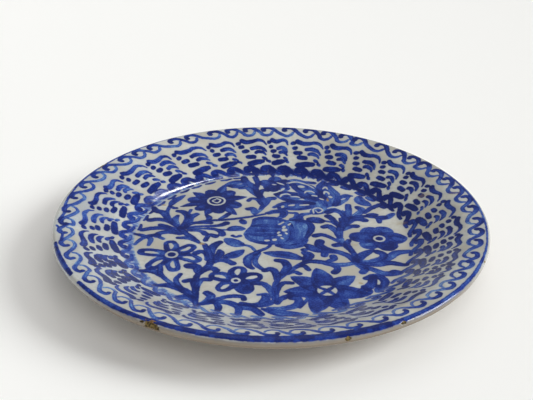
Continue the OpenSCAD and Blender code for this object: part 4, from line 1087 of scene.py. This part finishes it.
def bareClay(name):
    # low fired brick clay, wiped clean of glaze at the foot: matt, sandy and a little sooty
    material, tree = emptyMaterial(name)
    place = addNode(tree, "ShaderNodeTexCoord").outputs["Object"]
    blotch = addNode(tree, "ShaderNodeTexNoise", {"Scale": lumps(14.0), "Detail": 4.0}, {0: place})
    sooty = addNode(tree, "ShaderNodeMapRange", {**smooth, "From Min": 0.3, "From Max": 0.7}, {0: blotch})
    ends = {6: srgb(finish["clay"]), 7: srgb(finish["clayDark"])}
    color = addNode(tree, "ShaderNodeMix", {"data_type": "RGBA", **ends}, {0: sooty})
    grit = addNode(tree, "ShaderNodeTexNoise", {"Scale": lumps(finish["grit"]), "Detail": 2.0}, {0: place})
    grains = addNode(
        tree, "ShaderNodeMapRange", {**smooth, "From Min": 0.45, "From Max": 0.75, "To Max": 0.5}, {0: grit}
    )
    color = addNode(
        tree, "ShaderNodeMix", {"data_type": "RGBA", 7: srgb(finish["clayGrit"])}, {0: grains, 6: color}
    )
    roughness = addNode(
        tree,
        "ShaderNodeMapRange",
        {**smooth, "From Min": 0.3, "From Max": 0.7, "To Min": 0.75, "To Max": 0.95},
        {0: grit},
    )
    bump = addNode(tree, "ShaderNodeBump", {"Strength": 0.5, "Distance": 0.3 * mm}, {"Height": grit})
    inputs = {"Base Color": color, "Roughness": roughness, "Normal": bump}
    shader = addNode(tree, "ShaderNodeBsdfPrincipled", {"IOR": finish["refraction"]}, inputs)
    addNode(tree, "ShaderNodeOutputMaterial", {}, {"Surface": shader})
    return material


random.seed(7)
spin = spinTree()
faceMaterial = tinGlaze("tinGlazeWithCobalt", finish["glazeLight"], finish["glazeDull"])
# the darker copy for the underside is partly painted shade
backShadedMaterial = tinGlaze("tinGlazeBack", finish["backPaleShaded"], finish["backDullShaded"])
clayMaterial = bareClay("brickEarthenware")
print("made the materials")

coats = {
    "glazeWellCentre": {"from": 0.0, "to": 66.0, "gap": 0.62, "stepsRound": 640},
    "glazeWell": {"from": 66.0, "to": 141.0, "gap": 0.90, "stepsRound": 1050},
    "glazeWall": {"from": 141.0, "to": 179.0, "gap": 0.70, "stepsRound": 1600},
    "glazeRim": {"from": 179.0, "to": lipRadius, "gap": 0.62, "stepsRound": 1800},
}


# rings of points on the coat's underside, close together where the face bends
underRadii = [30, 100, 124, 127, 130, 133, 136.5, 160, 176, 180, 184, 188, 192]


def coatOutline(size, rolled):
    # top of the coat from the middle out, then back along its underside
    top = facePoints(size["from"], size["to"], size["gap"])
    radii = [size["from"]] + [r for r in underRadii if size["from"] < r < size["to"]] + [size["to"]]
    under = [(r, faceHeight(r) - glazeThick) for r in radii]
    if rolled:
        top = top[:-1] + lipPoints(90, 0, 12)
        under = under[:-1] + lipPoints(90, 0, 5, glazeThick)
    return top + under[::-1]


pieces = {}
for name, size in coats.items():
    pieces[name] = spinSolid(name, coatOutline(size, name == "glazeRim"), size["stepsRound"], faceMaterial)


def backCurve(inset):
    thick = dish["wallThick"] - inset
    well = dish["wellRadius"] + 3
    corners = [
        [lipRadius, lipHeight - dish["lipBall"] + inset],
        [dish["rimRadius"] - 2, rimHeight - thick],
        [dish["shoulderRadius"], shoulderHeight - thick],
        [(dish["shoulderRadius"] + well) / 2, dish["floorHeight"] + 24.5 * math.tan(slope) - thick],
        [well, dish["floorHeight"] + 3 * math.tan(slope) - thick],
        [dish["footRadius"] + 24, 5.9 + inset],
        [dish["footRadius"] + 4, 4.4 + inset],
        [dish["footRadius"] - inset, 3 + inset],
    ]
    return [tuple(p) for p in brushPath(corners, gap=2.0)]


def backOutline():
    outside = lipPoints(0, -90, 12)[:-1] + backCurve(0.0) + [(dish["footRadius"], dish["footBare"])]
    inside = lipPoints(0, -90, 12, glazeThick)[:-1] + backCurve(glazeThick)
    inside.append((dish["footRadius"] - glazeThick, dish["footBare"]))
    return outside + inside[::-1]


def recessOutline():
    wall = dish["footRadius"] - dish["footWidth"]
    roof = dish["footRecess"]
    rings = list(np.linspace(0, wall - 1.5, 24))
    hidden = [(r, roof + glazeThick) for r in rings[::4]] + [(wall + glazeThick, roof + glazeThick)]
    hidden.append((wall + glazeThick, dish["footBare"]))
    shown = [(wall, dish["footBare"]), (wall, roof - 1.2), (wall - 0.4, roof - 0.4)]
    shown += [(r, roof) for r in rings[::-1]]
    return hidden + shown


def clayOutline():
    wall = dish["footRadius"] - dish["footWidth"] + glazeThick
    foot = dish["footRadius"] - glazeThick
    top = facePoints(0.0, lipRadius, 3.0, glazeThick)[:-1] + lipPoints(90, -90, 14, glazeThick)[:-1]
    under = backCurve(glazeThick) + [(foot, 0.9), (foot - 0.6, 0.2), (foot - 1.4, 0.0)]
    under += [(wall + 1.4, 0.0), (wall + 0.6, 0.2), (wall, 0.9), (wall, dish["footRecess"] + glazeThick)]
    return top + under + [(0.0, dish["footRecess"] + glazeThick)]


# how many steps each of the other pieces takes round the axis
turned = {"glazeBack": 740, "glazeRecess": 360, "clayBody": 700}
pieces["glazeBack"] = spinSolid("glazeBack", backOutline(), turned["glazeBack"], backShadedMaterial)
pieces["glazeRecess"] = spinSolid("glazeRecess", recessOutline(), turned["glazeRecess"], backShadedMaterial)
pieces["clayBody"] = spinSolid("clayBody", clayOutline(), turned["clayBody"], clayMaterial)

# the chips in the lip: each is its direction, how far round the lip's edge it lies, its half length and
# half width, and its depth

chips = [
    {"angle": 242.5, "over": 199.6, "halfLength": 9.5, "halfWidth": 4.6, "depth": 1.7},
    {"angle": 150.5, "over": 198.0, "halfLength": 8.0, "halfWidth": 2.0, "depth": 0.7},
    {"angle": 287.0, "over": 200.5, "halfLength": 4.0, "halfWidth": 1.8, "depth": 0.5},
    {"angle": 301.0, "over": 200.0, "halfLength": 3.6, "halfWidth": 1.6, "depth": 0.5},
    {"angle": 337.0, "over": 200.5, "halfLength": 2.4, "halfWidth": 1.4, "depth": 0.4},
]


def placesOf(piece):
    flat = np.empty(len(piece.data.vertices) * 3)
    piece.data.vertices.foreach_get("co", flat)
    return flat.reshape(-1, 3) / mm


def unrolled(places, behind):
    # plan places in mm, with the rolled lip laid out flat beyond its crest
    x, y, z = places.T
    radius = np.hypot(x, y)
    over = np.arctan2(radius - lipRadius, z - lipHeight)
    out = np.where(radius > lipRadius, lipRadius + dish["lipBall"] * np.maximum(over, 0), radius)
    if behind:
        out = np.where(radius <= lipRadius, lipRadius + dish["lipBall"] * math.pi + lipRadius - radius, out)
    scale = out / np.maximum(radius, 1e-6)
    return x * scale, y * scale, out


def chipAmount(places, behind):
    x, y, over = unrolled(places, behind)
    angle = np.degrees(np.arctan2(y, x)) % 360
    amount = np.zeros(len(x))
    depth = np.zeros(len(x))
    for chip in chips:
        along = (angle - chip["angle"]) * math.pi / 180 * lipRadius / chip["halfLength"]
        across = (over - chip["over"]) / chip["halfWidth"]
        broken = 0.9 * (cloud(x, y, 3.2, 11) - 0.5) + 0.4 * (cloud(x, y, 1.3, 12) - 0.5)
        inside = 1 - ease(np.hypot(along, across) + broken, 0.72, 1.05)
        amount = np.maximum(amount, inside)
        depth = np.maximum(depth, inside * chip["depth"])
    return amount, depth


def storeNumbers(piece, name, values):
    layer = piece.data.attributes.new(name, "FLOAT", "POINT")
    layer.data.foreach_set("value", np.asarray(values, dtype=np.float32))


def carveChips(piece, behind):
    places = placesOf(piece)
    amount, depth = chipAmount(places, behind)
    x, y, z = places.T
    radius = np.maximum(np.hypot(x, y), 1e-6)
    coreX, coreY = x / radius * lipRadius, y / radius * lipRadius
    reach = np.sqrt((x - coreX) ** 2 + (y - coreY) ** 2 + (z - lipHeight) ** 2)
    pull = np.clip(depth / np.maximum(reach, 0.5), 0, 0.6)[:, None]
    core = np.stack([coreX, coreY, np.full(len(x), lipHeight)], axis=1)
    moved = places + (core - places) * pull
    piece.data.vertices.foreach_set("co", (moved * mm).ravel())
    piece.data.update()
    storeNumbers(piece, "chip", amount)


painted = list(coats) + ["glazeBack"]
spots = {name: placesOf(pieces[name]) for name in painted}
flat = {name: unrolled(spots[name], name == "glazeBack") for name in painted}
canvas = {
    "x": np.concatenate([flat[name][0] for name in painted]),
    "y": np.concatenate([flat[name][1] for name in painted]),
}
count = len(canvas["x"])
canvas["edge"] = np.full(count, 9.0)
canvas["load"] = np.zeros(count)
paintScrolls(canvas)
paintWall(canvas)
paintWellRing(canvas)
paintLipLine(canvas)
print("painted the border")
paintWell(canvas)
runInKilnAndSheen(canvas)
print("painted the well")

stains = [
    {"at": [-64, -14], "size": [4, 2.5], "strength": 0.75},
    {"at": [57, 75], "size": [1.4, 4.5], "strength": 0.8},
    {"at": [79, -78], "size": [3, 1.6], "strength": 0.6},
    {"at": [-107, 60], "size": [3, 2], "strength": 0.6},
    {"at": [125, 28], "size": [6, 4], "strength": 0.25},
    {"at": [77, -13], "size": [5, 3], "strength": 0.2},
    {"at": [150, 60], "size": [7, 4], "strength": 0.25},
    {"at": [178, 48], "size": [6, 4], "strength": 0.25},
]
canvas["stain"] = np.zeros(count)
for stain in stains:
    dx = (canvas["x"] - stain["at"][0]) / stain["size"][0]
    dy = (canvas["y"] - stain["at"][1]) / stain["size"][1]
    rough = 0.8 * (cloud(canvas["x"], canvas["y"], 2.0, 14) - 0.5)
    patch = stain["strength"] * (1 - ease(np.hypot(dx, dy) + rough, 0.4, 1.1))
    canvas["stain"] = np.maximum(canvas["stain"], patch)

# grey-brown over the outer face of the near lip: partly glaze run thin over the clay, partly painted shade
# where the lip turns down
beyond = np.concatenate([flat[name][2] for name in painted])
facing = np.cos(np.arctan2(canvas["y"], canvas["x"]) - math.radians(275))
ragged = 1.6 * (cloud(canvas["x"], canvas["y"], 5.0, 15) - 0.5)
canvas["thin"] = 0.85 * ease(beyond + ragged, 197.6, 199.4) * ease(facing, 0.35, 0.8)

start = 0
for name in painted:
    end = start + len(spots[name])
    for layer in ("edge", "load", "wash", "stain", "thin"):
        storeNumbers(pieces[name], layer, canvas[layer][start:end])
    start = end
for name in ("glazeRim", "glazeBack", "clayBody"):
    carveChips(pieces[name], name != "glazeRim")
print("stored the painting")

for name, piece in pieces.items():
    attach(piece, "root")
cobalt = [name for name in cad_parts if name.startswith("cobalt_")]
for name in coats:
    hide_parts("face_glaze", *cobalt)
for name in ("glazeBack", "glazeRecess"):
    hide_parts("back_glaze")
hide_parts("clay_body")


studio = {
    "tableReach": 3.2,
    "tableHeight": 1.1,
    "tableBend": 0.5,
    "tableSteps": 96,
    "paperNear": "#fbfaf8",
    "paperFarShaded": "#cccdcb",
    "shadeFrom": 1.2,  # metres from the dish where the painted shade starts to turn the paper grey
    "shadeTo": 3.0,
    "skyStrength": 0.2,
    # each soft light: direction from the right and height in degrees, strength, how wide it looks in degrees
    "lights": {
        "side": {"azimuth": 0, "height": 30, "strength": 2.3, "spread": 30, "color": (0.97, 1.0, 1.0)},
        "window": {"azimuth": 60, "height": 49, "strength": 0.65, "spread": 60, "color": (1.0, 0.99, 0.98)},
        "fill": {"azimuth": 285, "height": 42, "strength": 1.2, "spread": 60, "color": (1.0, 0.99, 0.97)},
    },
    "mirrored": ["side"],  # the others are bounced light and leave no shine on the glaze
    # a small white card that the turn of the well mirrors; it lies that many metres away, is wide and tall
    # in metres, and has its power in watts
    "card": {"azimuth": 77, "height": 49, "away": 1.5, "wide": 0.30, "tall": 0.08, "power": 3.0},
}


def paperSweep(reach, height, bend, steps):
    # pale paper that lies flat and turns up all round, so that no edge shows
    profile = [(0.0, 0.0), (reach - bend, 0.0)]
    for k in range(1, 9):
        turn = math.radians(90 * k / 8)
        profile.append((reach - bend + bend * math.sin(turn), bend * (1 - math.cos(turn))))
    profile.append((reach, height))
    corners = [(0.0, 0.0, 0.0)]
    for r, z in profile[1:]:
        for k in range(steps):
            turn = 2 * math.pi * k / steps
            corners.append((r * math.cos(turn), r * math.sin(turn), z))
    faces = [(0, 1 + k, 1 + (k + 1) % steps) for k in range(steps)]
    for row in range(len(profile) - 2):
        for k in range(steps):
            a = 1 + row * steps + k
            b = 1 + row * steps + (k + 1) % steps
            faces.append((a, a + steps, b + steps, b))
    mesh = bpy.data.meshes.new("paleTable")
    mesh.from_pydata(corners, [], faces)
    mesh.shade_smooth()
    sweep = bpy.data.objects.new("paleTable", mesh)
    bpy.context.scene.collection.objects.link(sweep)
    return sweep


table = paperSweep(studio["tableReach"], studio["tableHeight"], studio["tableBend"], studio["tableSteps"])
tableFinish = bpy.data.materials.new("paleTable")
tableFinish.use_nodes = True
tableTree = tableFinish.node_tree
tableShader = tableTree.nodes["Principled BSDF"]
# painted shade: the paper is coloured from near white round the dish to pale grey where it turns up
tablePlace = addNode(tableTree, "ShaderNodeTexCoord").outputs["Object"]
tableAway = addNode(tableTree, "ShaderNodeVectorMath", {"operation": "LENGTH"}, {0: tablePlace})
shadeRange = {**smooth, "From Min": studio["shadeFrom"], "From Max": studio["shadeTo"]}
tableShade = addNode(tableTree, "ShaderNodeMapRange", shadeRange, {0: tableAway.outputs["Value"]})
paper = {"data_type": "RGBA", 6: srgb(studio["paperNear"]), 7: srgb(studio["paperFarShaded"])}
tableTint = addNode(tableTree, "ShaderNodeMix", paper, {0: tableShade})
tableTree.links.new(tableTint.outputs[2], tableShader.inputs["Base Color"])
tableShader.inputs["Roughness"].default_value = 0.9
tableShader.inputs["Specular IOR Level"].default_value = 0.1
table.data.materials.append(tableFinish)


def hangLight(data, light, away):
    turn, lift = math.radians(light["azimuth"]), math.radians(light["height"])
    toLight = Vector((math.cos(turn) * math.cos(lift), math.sin(turn) * math.cos(lift), math.sin(lift)))
    lamp = bpy.data.objects.new(data.name, data)
    lamp.location = toLight * away
    lamp.rotation_euler = (-toLight).to_track_quat("-Z", "Y").to_euler()
    bpy.context.scene.collection.objects.link(lamp)
    return lamp


for name, light in studio["lights"].items():
    sun = bpy.data.lights.new(name, "SUN")
    sun.energy = light["strength"]
    sun.angle = math.radians(light["spread"])
    sun.color = light["color"]
    hangLight(sun, light, 2.0).visible_glossy = name in studio["mirrored"]

card = bpy.data.lights.new("card", "AREA")
card.shape = "RECTANGLE"
card.size = studio["card"]["wide"]
card.size_y = studio["card"]["tall"]
card.energy = studio["card"]["power"]
cardLamp = hangLight(card, studio["card"], studio["card"]["away"])
cardLamp.visible_diffuse = False
onlyWell = bpy.data.collections.new("onlyWell")
onlyWell.objects.link(pieces["glazeWell"])
cardLamp.light_linking.receiver_collection = onlyWell

world = bpy.data.worlds.new("softRoom")
bpy.context.scene.world = world
world.use_nodes = True
world.node_tree.nodes["Background"].inputs["Color"].default_value = (1.0, 1.0, 1.0, 1.0)
world.node_tree.nodes["Background"].inputs["Strength"].default_value = studio["skyStrength"]
bpy.context.scene.view_settings.view_transform = "Standard"

view = {"away": 0.9, "above": 30.36, "pitch": 28.16, "yaw": 0.32, "roll": 0.54, "lens": 64.54}
cameraData = bpy.data.cameras.new("camera")
cameraData.lens = view["lens"]
cameraData.sensor_width = 36.0
camera = bpy.data.objects.new("camera", cameraData)
bpy.context.scene.collection.objects.link(camera)
above = math.radians(view["above"])
eyeHeight = view["away"] * math.sin(above) + dish["floorHeight"] * mm
place = Vector((0, -view["away"] * math.cos(above), eyeHeight))
camera.matrix_world = (
    Matrix.Translation(place)
    @ Matrix.Rotation(math.radians(view["yaw"]), 4, "Z")
    @ Matrix.Rotation(math.radians(90 - view["pitch"]), 4, "X")
    @ Matrix.Rotation(math.radians(view["roll"]), 4, "Z")
)
bpy.context.scene.camera = camera
print("set the table, the lights and the camera")
